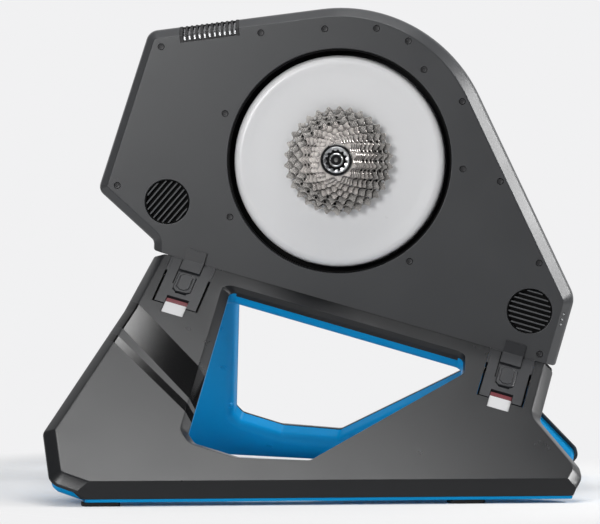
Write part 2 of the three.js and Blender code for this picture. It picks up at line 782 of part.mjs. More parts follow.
// The stator's teeth stand on a yoke ring, and the windings fill the slots between them.
function addStator() {
  const yokeRadius = statorInnerRadius + STATOR.yoke;
  const turn = (2 * Math.PI) / STATOR.teeth;
  const half = (yokeRadius * turn * TOOTH_WIDTH_SHARE) / 2;
  const tip = Math.sqrt(statorRadius ** 2 - half ** 2);
  const teeth = Array.from({ length: STATOR.teeth }, (_, i) =>
    box(yokeRadius - STATOR.yoke / 2, tip, -half, half, STATOR.back, STATOR.front).rotateZ(turn * i),
  );
  const yoke = tube(statorInnerRadius, yokeRadius, STATOR.back, STATOR.front);
  piece(sideView, "stator_core", joined(yoke, ...teeth), STEEL, 0.5, 0.8);

  const coilInner = yokeRadius + WINDING.rootGap;
  const coilOuter = statorRadius - WINDING.tipGap;
  const endStart = STATOR.front + SEAT_GAP;
  const endRing = tube(coilInner, coilOuter, endStart, endStart + WINDING.endTurn);
  const root = coilInner / Math.cos(turn / 4);
  const slotHalf = (radius) => radius * Math.sin(turn / 2) - half * Math.cos(turn / 2) - WINDING.sideGap;
  const bar = [
    new THREE.Vector2(root, -slotHalf(root)),
    new THREE.Vector2(coilOuter, -slotHalf(coilOuter)),
    new THREE.Vector2(coilOuter, slotHalf(coilOuter)),
    new THREE.Vector2(root, slotHalf(root)),
  ];
  const bars = Array.from({ length: STATOR.teeth }, (_, i) =>
    prism(bar, STATOR.back, endStart + WINDING.endTurn / 2).rotateZ(turn * (i + 0.5)),
  );
  piece(sideView, "stator_windings", joined(endRing, ...bars), COPPER, 0.5, 0.6);
}

// The cassette

function toothedOutline(teeth) {
  const pitchRadius = CASSETTE.chainPitch / (2 * Math.sin(Math.PI / teeth));
  const root = pitchRadius - CASSETTE.rootDrop;
  const tip = pitchRadius + CASSETTE.tipRise;
  const step = (2 * Math.PI) / teeth;
  const at = (radius, angle) => new THREE.Vector2(radius * Math.cos(angle), radius * Math.sin(angle));
  return Array.from({ length: teeth }, (_, tooth) => [
    ...TIP_SHARES.map((share) => at(tip, step * (tooth + share))),
    at(root, step * (tooth + ROOT_SHARE)),
  ]).flat();
}

function sprocketPlane(teeth) {
  const order = [...LARGE_CLUSTER.teeth, ...MID_CLUSTER_TEETH, ...SINGLE_TEETH].indexOf(teeth);
  return CASSETTE.largePlane + CASSETTE.spacing * order;
}

function sprocket(teeth, bore) {
  const back = sprocketPlane(teeth) - CASSETTE.plate / 2;
  const front = back + CASSETTE.plate;
  const hole = rod(bore, back - OVERRUN, front + OVERRUN, SMALL_ROUND_SEGMENTS);
  return cut(prism(toothedOutline(teeth), back, front), hole);
}

function addLargeCluster() {
  const first = LARGE_CLUSTER.teeth[0];
  const last = LARGE_CLUSTER.teeth.at(-1);
  const back = ROTOR.face - ROTOR.dish + SEAT_GAP + FREEHUB.flange + SEAT_GAP;
  const front = sprocketPlane(last) + CASSETTE.plate / 2;
  const rings = LARGE_CLUSTER.teeth.map((teeth) => {
    const root = CASSETTE.chainPitch / (2 * Math.sin(Math.PI / teeth)) - CASSETTE.rootDrop;
    return sprocket(teeth, Math.min(root - LARGE_CLUSTER.ringWall, LARGE_CLUSTER.armReach - CASSETTE.plate));
  });
  const half = LARGE_CLUSTER.armWidth / 2;
  const armBack = sprocketPlane(first) - CASSETTE.plate / 2;
  const arms = Array.from({ length: LARGE_CLUSTER.arms }, (_, i) =>
    box(CASSETTE.bore + CASSETTE.plate, LARGE_CLUSTER.armReach, -half, half, armBack, front).rotateZ(
      (2 * Math.PI * i) / LARGE_CLUSTER.arms,
    ),
  );
  const hub = tube(CASSETTE.bore, LARGE_CLUSTER.hubRadius, back, front, SMALL_ROUND_SEGMENTS);
  piece(sideView, "sprockets_30_27_24", joined(hub, ...rings, ...arms), STEEL, 0.3, 1);
}

function addCassette() {
  addLargeCluster();

  const half = CASSETTE.plate / 2;
  const midBack = sprocketPlane(LARGE_CLUSTER.teeth.at(-1)) + half + SEAT_GAP;
  const midFront = sprocketPlane(MID_CLUSTER_TEETH.at(-1)) + half;
  const boss = tube(CASSETTE.bore, CASSETTE.midBoss, midBack, midFront, SMALL_ROUND_SEGMENTS);
  const mid = joined(boss, ...MID_CLUSTER_TEETH.map((teeth) => sprocket(teeth, CASSETTE.bore)));
  piece(sideView, "sprockets_21_19_17", mid, STEEL, 0.3, 1);

  let behind = midFront;
  for (const teeth of SINGLE_TEETH) {
    const front = sprocketPlane(teeth) + half;
    const spacer = tube(CASSETTE.bore, CASSETTE.bossRadius, behind + SEAT_GAP, front, SMALL_ROUND_SEGMENTS);
    piece(sideView, `sprocket_${teeth}`, joined(spacer, sprocket(teeth, CASSETTE.bore)), STEEL, 0.3, 1);
    behind = front;
  }

  const hubBack = ROTOR.face - ROTOR.dish + SEAT_GAP;
  const hubFront = behind - FREEHUB.endSetback;
  const freehub = turned([
    [AXLE.radius + SEAT_GAP, hubBack],
    [FREEHUB.flangeRadius, hubBack],
    [FREEHUB.flangeRadius, hubBack + FREEHUB.flange],
    [FREEHUB.radius, hubBack + FREEHUB.flange],
    [FREEHUB.radius, hubFront],
    [AXLE.radius + SEAT_GAP, hubFront],
  ], SMALL_ROUND_SEGMENTS);
  piece(sideView, "freehub_body", freehub, STEEL, 0.35, 1);

  const ringBack = behind + SEAT_GAP;
  const ringFront = ringBack + LOCKRING.wall;
  const lockring = tube(LOCKRING.bore, LOCKRING.radius, ringBack, ringFront, SMALL_ROUND_SEGMENTS);
  piece(sideView, "cassette_lockring", lockring, ALUMINIUM, 0.3, 1);
}

// The legs

const legToSide = seamMatrix.clone().multiply(legMatrix);
const sideToLeg = legToSide.clone().invert();
const legNormal = new THREE.Vector3(0, 0, 1).transformDirection(legToSide);
const legOutward = new THREE.Vector3(legNormal.x, 0, legNormal.z).normalize();

// The lip frame: origin on the floor under the outer face's lower edge, x along that edge, y up, z outwards.
const lipMatrix = new THREE.Matrix4();
{
  const onFace = new THREE.Vector3(0, 0, 0).applyMatrix4(legToSide);
  const fall = onFace.y + AXLE.height - LEG.lipTop;
  const run = (fall * legNormal.y) / Math.hypot(legNormal.x, legNormal.z);
  const foot = onFace.clone().addScaledVector(legOutward, run);
  foot.y = -AXLE.height;
  const up = new THREE.Vector3(0, 1, 0);
  lipMatrix.makeBasis(new THREE.Vector3().crossVectors(up, legOutward), up, legOutward).setPosition(foot);
}

const legRear = rearHinge - LEG.rearOverhang;
const legLength = frontHinge + LEG.frontOverhang - legRear;

// How far down the leg's outer face the floor lies, at a place along the seam.
function slopeToFloor(along) {
  const onSeam = new THREE.Vector3(along, 0, 0).applyMatrix4(legToSide);
  const down = new THREE.Vector3(0, -1, 0).transformDirection(legToSide);
  return (onSeam.y + AXLE.height) / -down.y;
}

function shareCorners(shares, left, width, top) {
  return shares.map(([x, y]) => {
    const along = left + width * x;
    return [along, -(top + (slopeToFloor(along) - top) * y)];
  });
}

function legCorners() {
  const corners = shareCorners(LEG_OUTLINE_SHARES, legRear, legLength, 0);
  return LEG_OUTLINE_SHARES.map(([, , radius, , nose], i) => [
    corners[i][0] - LEG.noseSetback * nose,
    corners[i][1] + LEG.noseRise * nose,
    radius * LEG.thickness,
  ]);
}

function legEdges() {
  const edges = edgesOf(legCorners());
  return edges.map((edge, i) => ({ ...edge, bevel: LEG_OUTLINE_SHARES[i][3] * LEG.bevelWidth }));
}

function windowTool() {
  const rear = rearHinge + HINGE.cutWidth / 2 + WINDOW.rearGap;
  const length = frontHinge - HINGE.cutWidth / 2 - WINDOW.frontGap - rear;
  const corners = shareCorners(WINDOW_CORNER_SHARES, rear, length, WINDOW.top);
  for (const corner of corners) corner.push(WINDOW.corner);
  const edges = edgesOf(corners);
  const flare = LEG.innerBevelWidth / LEG.innerBevelDepth;
  const through = prism(outline(edges), -LEG.thickness - OVERRUN, OVERRUN);
  const flared = loft([
    { points: outline(edges, () => -flare * (LEG.innerBevelDepth + OVERRUN)), z: -LEG.thickness - OVERRUN },
    { points: outline(edges), z: LEG.innerBevelDepth - LEG.thickness },
  ]);
  return joined(through, flared);
}

// What is cut from both shells of a leg, in the leg frame, above a height over the floor.
function legTools(lowest) {
  const far = legLength;
  const deep = -LEG.thickness - OVERRUN;
  const hingeCuts = [rearHinge, frontHinge].flatMap((centre) => {
    const half = HINGE.cutWidth / 2;
    const bore = rod(
      HINGE.pinRadius + SEAT_GAP,
      centre - HINGE.pinLength / 2 - SEAT_GAP,
      centre + HINGE.pinLength / 2 + SEAT_GAP,
      SMALL_ROUND_SEGMENTS,
    );
    bore.rotateY(Math.PI / 2).translate(0, -HINGE.axisDrop, -HINGE.axisDepth);
    return [box(centre - half, centre + half, -HINGE.cutDrop, OVERRUN, deep, OVERRUN), bore];
  });
  const aboveTop = box(-far, far, -LEG.topGap, far, deep, OVERRUN);
  const belowFloor = box(-far, far, -far, lowest, -far, far).applyMatrix4(lipMatrix).applyMatrix4(sideToLeg);
  const pastLip = box(-far, far, -far, far, 0, far).applyMatrix4(lipMatrix).applyMatrix4(sideToLeg);
  return [windowTool(), aboveTop, belowFloor, pastLip, ...hingeCuts];
}

function tabPockets() {
  const half = TAB.width / 2 + SLIDE_GAP;
  const top = -HINGE.cutDrop + OVERRUN;
  const floor = -(TAB.sunk + TAB.wall + SLIDE_GAP);
  return [rearHinge, frontHinge].flatMap((centre) => [
    box(centre - half, centre + half, -TAB.bottom - SEAT_GAP, top, floor, OVERRUN),
    box(
      centre - half,
      centre + half,
      -TAB.bottom - TAB.travel - SLIDE_GAP,
      top,
      floor,
      SEAT_GAP - TAB.sunk,
    ),
  ]);
}

// A layer of a leg between two heights over the floor, as deep as wall behind the lip's upright face.
function lipLayer(low, high, wall) {
  const far = legLength;
  return box(-far, far, low, high, -wall, far).applyMatrix4(lipMatrix).applyMatrix4(sideToLeg);
}

function legShells() {
  const edges = legEdges();
  const full = outline(edges);
  const bevelled = outline(edges, (edge) => edge.bevel);
  const outerSlab = loft([
    { points: full, z: -LEG.shell },
    { points: full, z: -LEG.bevelDepth },
    { points: bevelled, z: 0 },
  ]);
  const wholeSlab = loft([
    { points: full, z: -LEG.thickness },
    { points: full, z: -LEG.bevelDepth },
    { points: bevelled, z: 0 },
  ]);
  const innerFull = outline(edges, () => LEG.innerInset);
  const innerShare = LEG.innerBevelWidth / LEG.bevelWidth;
  const innerSlab = loft([
    { points: outline(edges, (edge) => LEG.innerInset + edge.bevel * innerShare), z: -LEG.thickness },
    { points: innerFull, z: LEG.innerBevelDepth - LEG.thickness },
    { points: innerFull, z: -LEG.shell - SEAT_GAP },
  ]);
  const skirtLow = LEG.floorGap + LEG.trim;
  const trim = shared(wholeSlab, lipLayer(0, skirtLow - SEAT_GAP, legLength));
  const skirt = shared(wholeSlab, lipLayer(skirtLow, LEG.lipTop, LEG.skirtWall));
  const skirtRoom = lipLayer(skirtLow - SEAT_GAP, LEG.lipTop, LEG.skirtWall + SEAT_GAP);
  const outer = cut(joined(outerSlab, skirt), ...legTools(skirtLow), ...tabPockets());
  const inner = cut(joined(cut(innerSlab, skirtRoom), trim), ...legTools(LEG.floorGap));
  return { outer, inner };
}

// One hinge bracket in the leg frame: its slab lies in the leg's cut, and its root reaches under the housing.
function hingeBracket(centre) {
  const outward = radians(LEG.splay);
  const toSection = (drop, depth) =>
    new THREE.Vector2(
      HALF + drop * Math.sin(outward) - depth * Math.cos(outward),
      -(BODY.seamDrop + drop * Math.cos(outward) + depth * Math.sin(outward)),
    );
  const seam = -(BODY.seamDrop + SEAT_GAP);
  const rootLow = -(BODY.seamDrop + HINGE.rootDrop);
  const under = toSection(HINGE.rootStart, HINGE.bracketDepth);
  const slab = [
    new THREE.Vector2(HINGE.rootInner, seam),
    new THREE.Vector2(HINGE.rootInner, rootLow),
    new THREE.Vector2(under.x, rootLow),
    toSection(HINGE.slabStart, HINGE.bracketDepth),
    toSection(HINGE.bracketDrop, HINGE.bracketDepth),
    toSection(HINGE.bracketDrop, 0),
    toSection(SEAT_GAP, 0),
  ];
  const strap = [
    new THREE.Vector2(HALF + SEAT_GAP, -(BODY.seamDrop - HINGE.strapRise)),
    new THREE.Vector2(HALF + SEAT_GAP, -(BODY.seamDrop + HINGE.strapRaise)),
    toSection(HINGE.strapEnd, HINGE.strapRaise),
    toSection(HINGE.strapEnd, -HINGE.strapRaise),
    toSection(HINGE.strapRaise, -HINGE.strapRaise),
    new THREE.Vector2(HALF + HINGE.strapRaise, -(BODY.seamDrop - HINGE.strapRise)),
  ];
  const seamFromLeg = legMatrix.clone().invert();
  const extruded = (section, width) => {
    const across = section.map((point) => new THREE.Vector2(point.x, point.y));
    return prism(across, centre - width / 2, centre + width / 2)
      .applyMatrix4(new THREE.Matrix4().makeBasis(
        new THREE.Vector3(0, 0, 1),
        new THREE.Vector3(0, 1, 0),
        new THREE.Vector3(1, 0, 0),
      ))
      .applyMatrix4(seamFromLeg);
  };
  return { slab: extruded(slab, HINGE.bracketWidth), strap: extruded(strap, HINGE.strapWidth) };
}

// A mirrored section makes a solid whose faces point inwards, so its triangles are turned round.
function flipped(geometry) {
  const index = geometry.index.array;
  for (let i = 0; i < index.length; i += 3) [index[i], index[i + 1]] = [index[i + 1], index[i]];
  return geometry;
}

function buttonOutline(centre, gap) {
  const left = centre - BUTTON.width / 2 - gap;
  const right = centre + BUTTON.width / 2 + gap;
  const top = -BUTTON.top + gap;
  const bottom = -BUTTON.bottom - gap;
  const corner = BUTTON.corner;
  return [
    [left + corner, bottom],
    [right - corner, bottom],
    [right, bottom + corner],
    [right, top - corner],
    [right - corner, top],
    [left + corner, top],
    [left, top - corner],
    [left, bottom + corner],
  ].map(([x, y]) => new THREE.Vector2(x, y));
}

function addHinge(parent, name, centre) {
  const { slab, strap } = hingeBracket(centre);
  const pinFrom = centre - HINGE.pinLength / 2;
  const pinBore = rod(
    HINGE.pinRadius + SEAT_GAP,
    pinFrom - OVERRUN,
    pinFrom + HINGE.pinLength + OVERRUN,
    SMALL_ROUND_SEGMENTS,
  );
  pinBore.rotateY(Math.PI / 2).translate(0, -HINGE.axisDrop, -HINGE.axisDepth);
  const pocketDeep = -(BUTTON.sunk + BUTTON.travel + SLIDE_GAP);
  const pocket = prism(buttonOutline(centre, SLIDE_GAP), pocketDeep, OVERRUN);
  const notchHalf = TAB.width / 2 + SLIDE_GAP;
  const notch = box(
    centre - notchHalf,
    centre + notchHalf,
    -HINGE.bracketDrop - OVERRUN,
    -TAB.top + TAB.notchRise,
    -HINGE.axisDepth + SEAT_GAP,
    OVERRUN,
  );
  const bracket = cut(joined(flipped(slab), flipped(strap)), pinBore, pocket, notch);
  piece(parent, `hinge_bracket_${name}`, bracket, SATIN_BLACK, 0.5, 0.2);

  const pin = rod(HINGE.pinRadius, pinFrom, pinFrom + HINGE.pinLength, SMALL_ROUND_SEGMENTS);
  pin.rotateY(Math.PI / 2).translate(0, -HINGE.axisDrop, -HINGE.axisDepth);
  piece(parent, `hinge_pin_${name}`, pin, STEEL, 0.3, 1);

  const button = prism(buttonOutline(centre, 0), -BUTTON.sunk, BUTTON.raise);
  piece(parent, `release_button_${name}`, button, BLACK, 0.5, 0);

  const half = TAB.width / 2;
  const tab = box(centre - half, centre + half, -TAB.bottom, -TAB.top, -TAB.sunk - TAB.wall, -TAB.sunk);
  piece(parent, `lock_tab_${name}`, tab, WHITE, 0.5, 0);
}

function addFeet(parent, name) {
  const start = new THREE.Vector3().setFromMatrixPosition(lipMatrix);
  const along = new THREE.Vector3(1, 0, 0).transformDirection(lipMatrix);
  const endX = (endShare) => {
    const [x, y] = legCorners()[LEG_OUTLINE_SHARES.findIndex(([share]) => share === endShare)];
    return new THREE.Vector3(x, y, 0).applyMatrix4(legToSide).x;
  };
  const places = [["rear", endX(0) + FOOT.rearInset], ["front", endX(1) - FOOT.frontInset]];
  for (const [place, x] of places) {
    const centre = (x - start.x) / along.x;
    const corners = [
      [centre - FOOT.length / 2, -FOOT.setback - FOOT.width, FOOT.corner],
      [centre + FOOT.length / 2, -FOOT.setback - FOOT.width, FOOT.corner],
      [centre + FOOT.length / 2, -FOOT.setback, FOOT.corner],
      [centre - FOOT.length / 2, -FOOT.setback, FOOT.corner],
    ];
    const flat = outline(edgesOf(corners)).map((point) => new THREE.Vector2(point.x, -point.y));
    const pad = prism(flat.reverse(), 0, LEG.floorGap - SEAT_GAP).rotateX(-Math.PI / 2);
    piece(parent, `foot_${place}_${name}`, pad.applyMatrix4(lipMatrix), RUBBER, 0.9, 0);
  }
}

function addLegs() {
  for (const [name, side] of [["drive", 1], ["non_drive", -1]]) {
    const half = new THREE.Group();
    half.scale.z = side;
    sideView.add(half);
    const leg = new THREE.Group();
    leg.applyMatrix4(legToSide);
    half.add(leg);
    const { outer, inner } = legShells();
    piece(leg, `leg_outer_shell_${name}`, outer, DARK_GREY, 0.5, 0.1);
    piece(leg, `leg_inner_shell_${name}`, inner, BLUE, 0.4, 0.1);
    addHinge(leg, `rear_${name}`, rearHinge);
    addHinge(leg, `front_${name}`, frontHinge);
    addFeet(half, name);
  }
}

addHousing();
addVents();
addFrame();
addElectrics();
addAxle();
addRotor();
addStator();
addCassette();
addLegs();

export default trainer;
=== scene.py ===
import json
import math

import bmesh
import bpy
from mathutils import Matrix, Vector
from mathutils.geometry import delaunay_2d_cdt


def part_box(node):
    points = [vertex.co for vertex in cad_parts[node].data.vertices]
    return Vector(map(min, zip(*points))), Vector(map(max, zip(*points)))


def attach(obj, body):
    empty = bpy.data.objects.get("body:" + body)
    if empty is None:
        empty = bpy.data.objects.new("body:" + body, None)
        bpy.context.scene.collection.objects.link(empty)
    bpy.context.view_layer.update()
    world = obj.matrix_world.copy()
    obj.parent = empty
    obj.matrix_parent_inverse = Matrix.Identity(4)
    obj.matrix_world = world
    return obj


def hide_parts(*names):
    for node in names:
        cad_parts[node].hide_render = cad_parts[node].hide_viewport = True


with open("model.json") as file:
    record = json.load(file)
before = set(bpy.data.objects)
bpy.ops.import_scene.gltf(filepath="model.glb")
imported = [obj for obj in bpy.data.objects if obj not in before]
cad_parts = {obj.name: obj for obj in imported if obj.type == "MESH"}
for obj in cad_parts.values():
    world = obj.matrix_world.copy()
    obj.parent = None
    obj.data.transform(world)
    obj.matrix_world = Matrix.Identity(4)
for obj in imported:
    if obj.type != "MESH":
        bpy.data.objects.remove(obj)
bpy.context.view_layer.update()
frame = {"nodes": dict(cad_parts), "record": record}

NODES = frame["nodes"]

MM = 0.001
radians = math.radians


# Sizes in millimetres, in the side view frame: x to the front, y up, z out of the drive side, from the axle

axle_low, axle_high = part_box("axle_shaft")
AXLE = (axle_low + axle_high) / 2
SEAT_GAP = 0.3
MOVE_GAP = 0.4
OVERRUN = 6
BODY = {
    "thickness": 80,
    "crown": 177,
    "toe_reach": 302.7,
    "wall": 3,
    "chamfer_width": 11,
    "slant_chamfer_width": 13.5,
    "chamfer_depth": 15,
    "seam_drop": 158,
    "seam_slope": 15,
    "shoulder_round": 5,
    "face_round": 1.0,
}
BAND = {"width": 11.4, "recess": 1.5, "wall": 3, "gap": 0.3}
# The well's shadow wall and floor belong to a deep black sleeve: painted shade in the gap round the rotor
WELL = {
    "radius": 129, "wall": 2.5, "depth": 28, "lip": 0.8, "shadow_wall": 1.6, "floor": 14, "floor_wall": 1.5,
    "rotor_gap": 1.2,
}
ROTOR = {
    "radius": 121.4, "face": 39, "dish": 0.8, "rim_wall": 4.2, "rim_back": -5, "rounding": 9, "web": 4,
    "hub": 22, "hub_back": -6, "dish_start": 70,
}
VENT = {"radius": 25.5, "rim": 1.2, "depth": 5, "pitch": 5.6, "slat": 1.7, "sunk": 0.5, "lip": 0.7}
REAR_VENT = {"x": -197.9, "y": -50.3, "slant": 50}
FRONT_VENT = {"x": 221.2, "y": -168.3, "slant": -15}
TOP_VENT = {
    "rear": -165, "front": -96.4, "face_drop": 8, "slots": 11, "slope": 8, "end_rim": 2, "slot_half": 1.7,
    "spine_half": 14, "slot_floor": 2, "fin_half": 0.8, "fin_drop": 42, "fin_base": 6, "fin_base_half": 30,
}
# A screw head's steps as shares of its radius, but the socket's depth as a share of the thickness
SCREW_SHARES = {"socket": 0.5, "depth": 0.6, "edge": 0.14, "crown": 0.86, "mouth": 0.62, "mouth_drop": 0.06}
SCREW = {"radius": 3.6, "hole": 3.9, "lip": 0.2, "sunk": 0.9, "thickness": 1.3, "depth": 2.4}
FACE_SCREWS = [
    (-207.8, 128.2), (-92.6, 145.7), (-19.1, 151.2), (40.5, 152.5), (77.2, 138.4),
    (95.7, 105.9), (140.1, 70.1), (142.3, -7.1), (185.2, -20.5), (-256.2, -32.5),
    (-132.5, 52.3), (-124.7, -66.5), (231.2, -113.1), (83.1, -113.8), (233.8, -217.2),
]
HALF = BODY["thickness"] / 2

LEG = {
    "splay": 54.25,
    "thickness": 27.4,
    "shell": 11.2,
    "inner_inset": 4,
    "inner_bevel_width": 12,
    "inner_bevel_depth": 10,
    "skirt_wall": 3,
    "rear": -206,
    "length": 569,
    "height": 356,
    "bevel_width": 12,
    "bevel_depth": 8.5,
    "top_gap": 0.6,
    "lip_top": 27,
    "floor_gap": 4.4,
    "trim": 3.4,
    "bottom_rise": 4,
    "bottom_flat": 25,
}
WINDOW = {
    "rear": -78,
    "top": 25,
    "length": 282,
    "height": 271,
    "corner": 9,
    "chamfer_width": 10,
    "chamfer_depth": 6,
    "rim_start": 7,
    "rim_wall": 2,
}
# Corners as shares of the window's length and height, then shares of the chamfer and of the blue rim on the
# edge that follows
WINDOW_CORNER_SHARES = [
    (0, 0, 1, 1), (0.064, 0.952, 1, 1), (0.099, 0.9945, 0.95, 1), (0.287, 1, 0.7, 1),
    (0.539, 0.897, 0.4, 1), (1, 0.1037, 0.12, 1), (0.9855, 0, 0.3, 0.05),
]
HINGE = {
    "centres": {"rear": -129, "front": 252.7},
    "cut_width": 54,
    "cut_drop": 88,
    "bracket_width": 48.6,
    "ear_width": 53.4,
    "ear_drop": 26.6,
    "bracket_drop": 86,
    "bracket_depth": 24,
    "root_inner": 12,
    "root_drop": 22,
    "strap_width": 24,
    "strap_raise": 2.5,
    "strap_rise": 13.5,
    "strap_end": 22,
    "axis_drop": 27.1,
    "axis_depth": 12,
    # Painted shadow: the top of the deep black blocks behind the slots
    "gap_shadows_top": 8,
    "pin_bore": 4.3,
    # Painted shadow: the width and the end of the black strip beside the strap
    "shadow_strip": 1.4,
    "shadow_strip_end": 48,
}
BUTTON = {
    "top": 25.5,
    "bottom": 61,
    "width": 21,
    "corner": 4,
    "raise": 2.4,
    "sunk": 2.4,
    "travel": 3,
    "slot_width": 13,
    "slot_rise": 2.6,
    "slot_depth": 5,
}
# The steps of a button's pad: how far its outline grows, and its height over the raised top
PAD_STEPS = [(0, -1.2), (-0.6, -0.6), (-2.6, -0.6), (-2.9, -1.1), (-3.4, -1.1), (-3.8, 0)]
TAB = {"top": 73, "bottom": 102, "width": 25.2, "sunk": 2, "wall": 6, "travel": 6, "notch_rise": 2, "band": 7}
CASSETTE = {
    "pitch": 12.7,
    "large_plane": 49.5,
    "spacing": 3.74,
    "plate": 1.8,
    "roller": 3.95,
    "bore": 17.3,
    "seat_rise": 1.3,
    "tip": 1.9,
    "blunt": 0.9,
    "slim": 0.35,
    "slim_depth": 0.45,
    "bore_round": 0.3,
    "spacer": 18.4,
}
# A cluster's widest bore, its hub's radius, and the radius and the inset of the holes near its teeth
LARGE_CLUSTER = {"bore": 41, "hub": 25, "hole": 1.5, "hole_inset": 5.2}
MIDDLE_CLUSTER = {"bore": 19, "hub": 23, "hole": 1.3, "hole_inset": 5.0}
HUB_ROUND = 0.4
SPIDER_ARMS = 5
SPIDER_ARM = [(18.5, -7), (43, -8.5), (43, 8.5), (18.5, 7)]
LOCKRING = {"outer": 17.8, "flange": 15.0, "inner": 10.6, "notch": 1.6, "wall": 2, "notches": 12}
END_CAP = {"radius": 7.5, "stub": 4.2, "neck": 6.9, "bore": 6.1, "lip": 0.6, "mouth": 2.4, "mouth_depth": 3}
# Painted shade in the hub's mouth: the deep black ring's inner and outer radius, and its low and high side
# over the lockring's back
HUB_MOUTH_SHADOW = {"inner": 8.1, "outer": 13.2, "low": 0.05, "high": 0.45}
BOSS = {"bore": 3.4, "outer": 5, "depth": 5, "rise": 0.5, "screw": 3.2}
FOOT_ROUND = 0.8
# Half sizes, then the low and the high side of each light's base and lens
MARK_BASE = (2.6, 1.9, -0.6, 0.12)
MARK_LENS = (1.9, 1.0, -0.3, 0.5)
LIGHT_MARKS = [(259.9, -171.2), (258.4, -177.2), (256.9, -183.0)]
BLUE_SCREWS = [(-92, -88), (-81, -171.8), (-67.6, -256.5), (-22.9, -280), (-8.4, -322.3), (47.6, -270)]
# Gloss bands across a leg: the direction across each in the leg frame, and where it starts and ends along it
GLOSS_BANDS = [((0.641, 0.768), -226, -185.1), ((0.607, 0.795), -247, -236.6)]
GLOSS_END = -52
GLOSS_EDGE = 0.2
TEETH = [30, 27, 24, 21, 19, 17, 15, 14, 13, 12, 11]
# How many sprockets the large and the middle cluster hold
LARGE = 3
MIDDLE = 3


# Frames

SIDE = Matrix.Translation(AXLE) @ Matrix.Rotation(radians(90), 4, "X") @ Matrix.Scale(MM, 4)
SIDE[1][3] = 0
TOP = SIDE @ Matrix.Rotation(radians(TOP_VENT["slope"]), 4, "Z")
MIRROR = Matrix.Diagonal((1, 1, -1, 1))
LEG_IN_SEAM = (
    Matrix.Translation((0, -BODY["seam_drop"], HALF)) @ Matrix.Rotation(-radians(LEG["splay"]), 4, "X")
)
SEAM_IN_SIDE = Matrix.Rotation(-radians(BODY["seam_slope"]), 4, "Z")
SIDES = {"drive": Matrix.Identity(4), "non_drive": MIRROR}


def side_frame(side):
    return SIDE @ SIDES[side]


def leg_frame(side):
    return SIDE @ SIDES[side] @ SEAM_IN_SIDE @ LEG_IN_SEAM


# Outlines

def polar(radius, angle):
    return Vector((radius * math.cos(angle), radius * math.sin(angle)))


def meeting(first, second):
    """The point where two edges, each an angle and a distance from the origin, meet."""
    span = math.sin(second["angle"] - first["angle"])
    near, far = first["distance"], second["distance"]
    return Vector((
        (near * math.sin(second["angle"]) - far * math.sin(first["angle"])) / span,
        (far * math.cos(first["angle"]) - near * math.cos(second["angle"])) / span,
    ))


def edges_of(corners):
    """The straight edges of a polygon of corners (x, y, radius, share), anticlockwise."""
    edges = []
    for i, (x, y, _, share) in enumerate(corners):
        next_x, next_y, radius, _ = corners[(i + 1) % len(corners)]
        angle = math.atan2(x - next_x, next_y - y)
        distance = x * math.cos(angle) + y * math.sin(angle)
        edges.append({"angle": angle, "distance": distance, "radius": radius, "share": share})
    return edges


def arc_steps(radius, turn):
    """How many straight steps an arc gets: finer ones where it is large."""
    step = radians(2.5) if radius > 60 else radians(7) if radius > 12 else radians(15)
    return max(2, math.ceil(abs(turn) / step))


def outline(edges, inset=0.0, by_share=0.0):
    """The outline of the edges, drawn in by inset, and by by_share times each edge's own share."""
    drawn = [inset + by_share * edge["share"] for edge in edges]
    lines = [{**edge, "distance": edge["distance"] - d} for edge, d in zip(edges, drawn)]
    points = []
    for i, line in enumerate(lines):
        after = lines[(i + 1) % len(lines)]
        corner = meeting(line, after)
        turn = math.remainder(after["angle"] - line["angle"], 2 * math.pi)
        if not line["radius"]:
            points.append(corner)
            continue
        sign = math.copysign(1, turn)
        most = max(drawn[i], drawn[(i + 1) % len(drawn)])
        radius = max(line["radius"] - sign * most, line["radius"] * 0.1)
        middle = line["angle"] + turn / 2
        reach = radius * sign / math.cos(turn / 2)
        centre = corner - reach * polar(1, middle)
        steps = arc_steps(line["radius"], turn)
        for step in range(steps + 1):
            angle = line["angle"] + turn * step / steps
            points.append(centre + radius * sign * polar(1, angle))
    return points


def circle(x, y, radius, count=48):
    angles = [2 * math.pi * i / count for i in range(count)]
    return [Vector((x + radius * math.cos(angle), y + radius * math.sin(angle))) for angle in angles]


SLANT_SHARE = BODY["slant_chamfer_width"] / BODY["chamfer_width"]
BODY_EDGES = [
    {"angle": radians(98), "distance": BODY["crown"], "radius": 15, "share": 1},
    {"angle": radians(163), "distance": 257.6, "radius": 12, "share": 1},
    {"angle": radians(228.7), "distance": 213.4, "radius": 8, "share": 1},
    {"angle": radians(180), "distance": 214.7, "radius": 3, "share": 1},
    {"angle": radians(255), "distance": BODY["seam_drop"], "radius": 3, "share": 0},
    {"angle": radians(-15), "distance": BODY["toe_reach"], "radius": 25, "share": 1},
    {"angle": radians(26.34), "distance": BODY["crown"], "radius": BODY["crown"], "share": SLANT_SHARE},
]


# Mesh code

def add_ring(bm, points, z):
    return [bm.verts.new((p[0], p[1], z)) for p in points]


def bridge(bm, low, high):
    """Faces between two rings of as many points, facing out where the rings run anticlockwise and z rises."""
    count = len(low)
    for i in range(count):
        j = (i + 1) % count
        bm.faces.new((low[i], low[j], high[j], high[i]))


def inside(x, y, loop):
    crossings = 0
    for i, point in enumerate(loop):
        after = loop[(i + 1) % len(loop)]
        if (point.y > y) != (after.y > y):
            crossings += x < point.x + (after.x - point.x) * (y - point.y) / (after.y - point.y)
    return crossings % 2 == 1


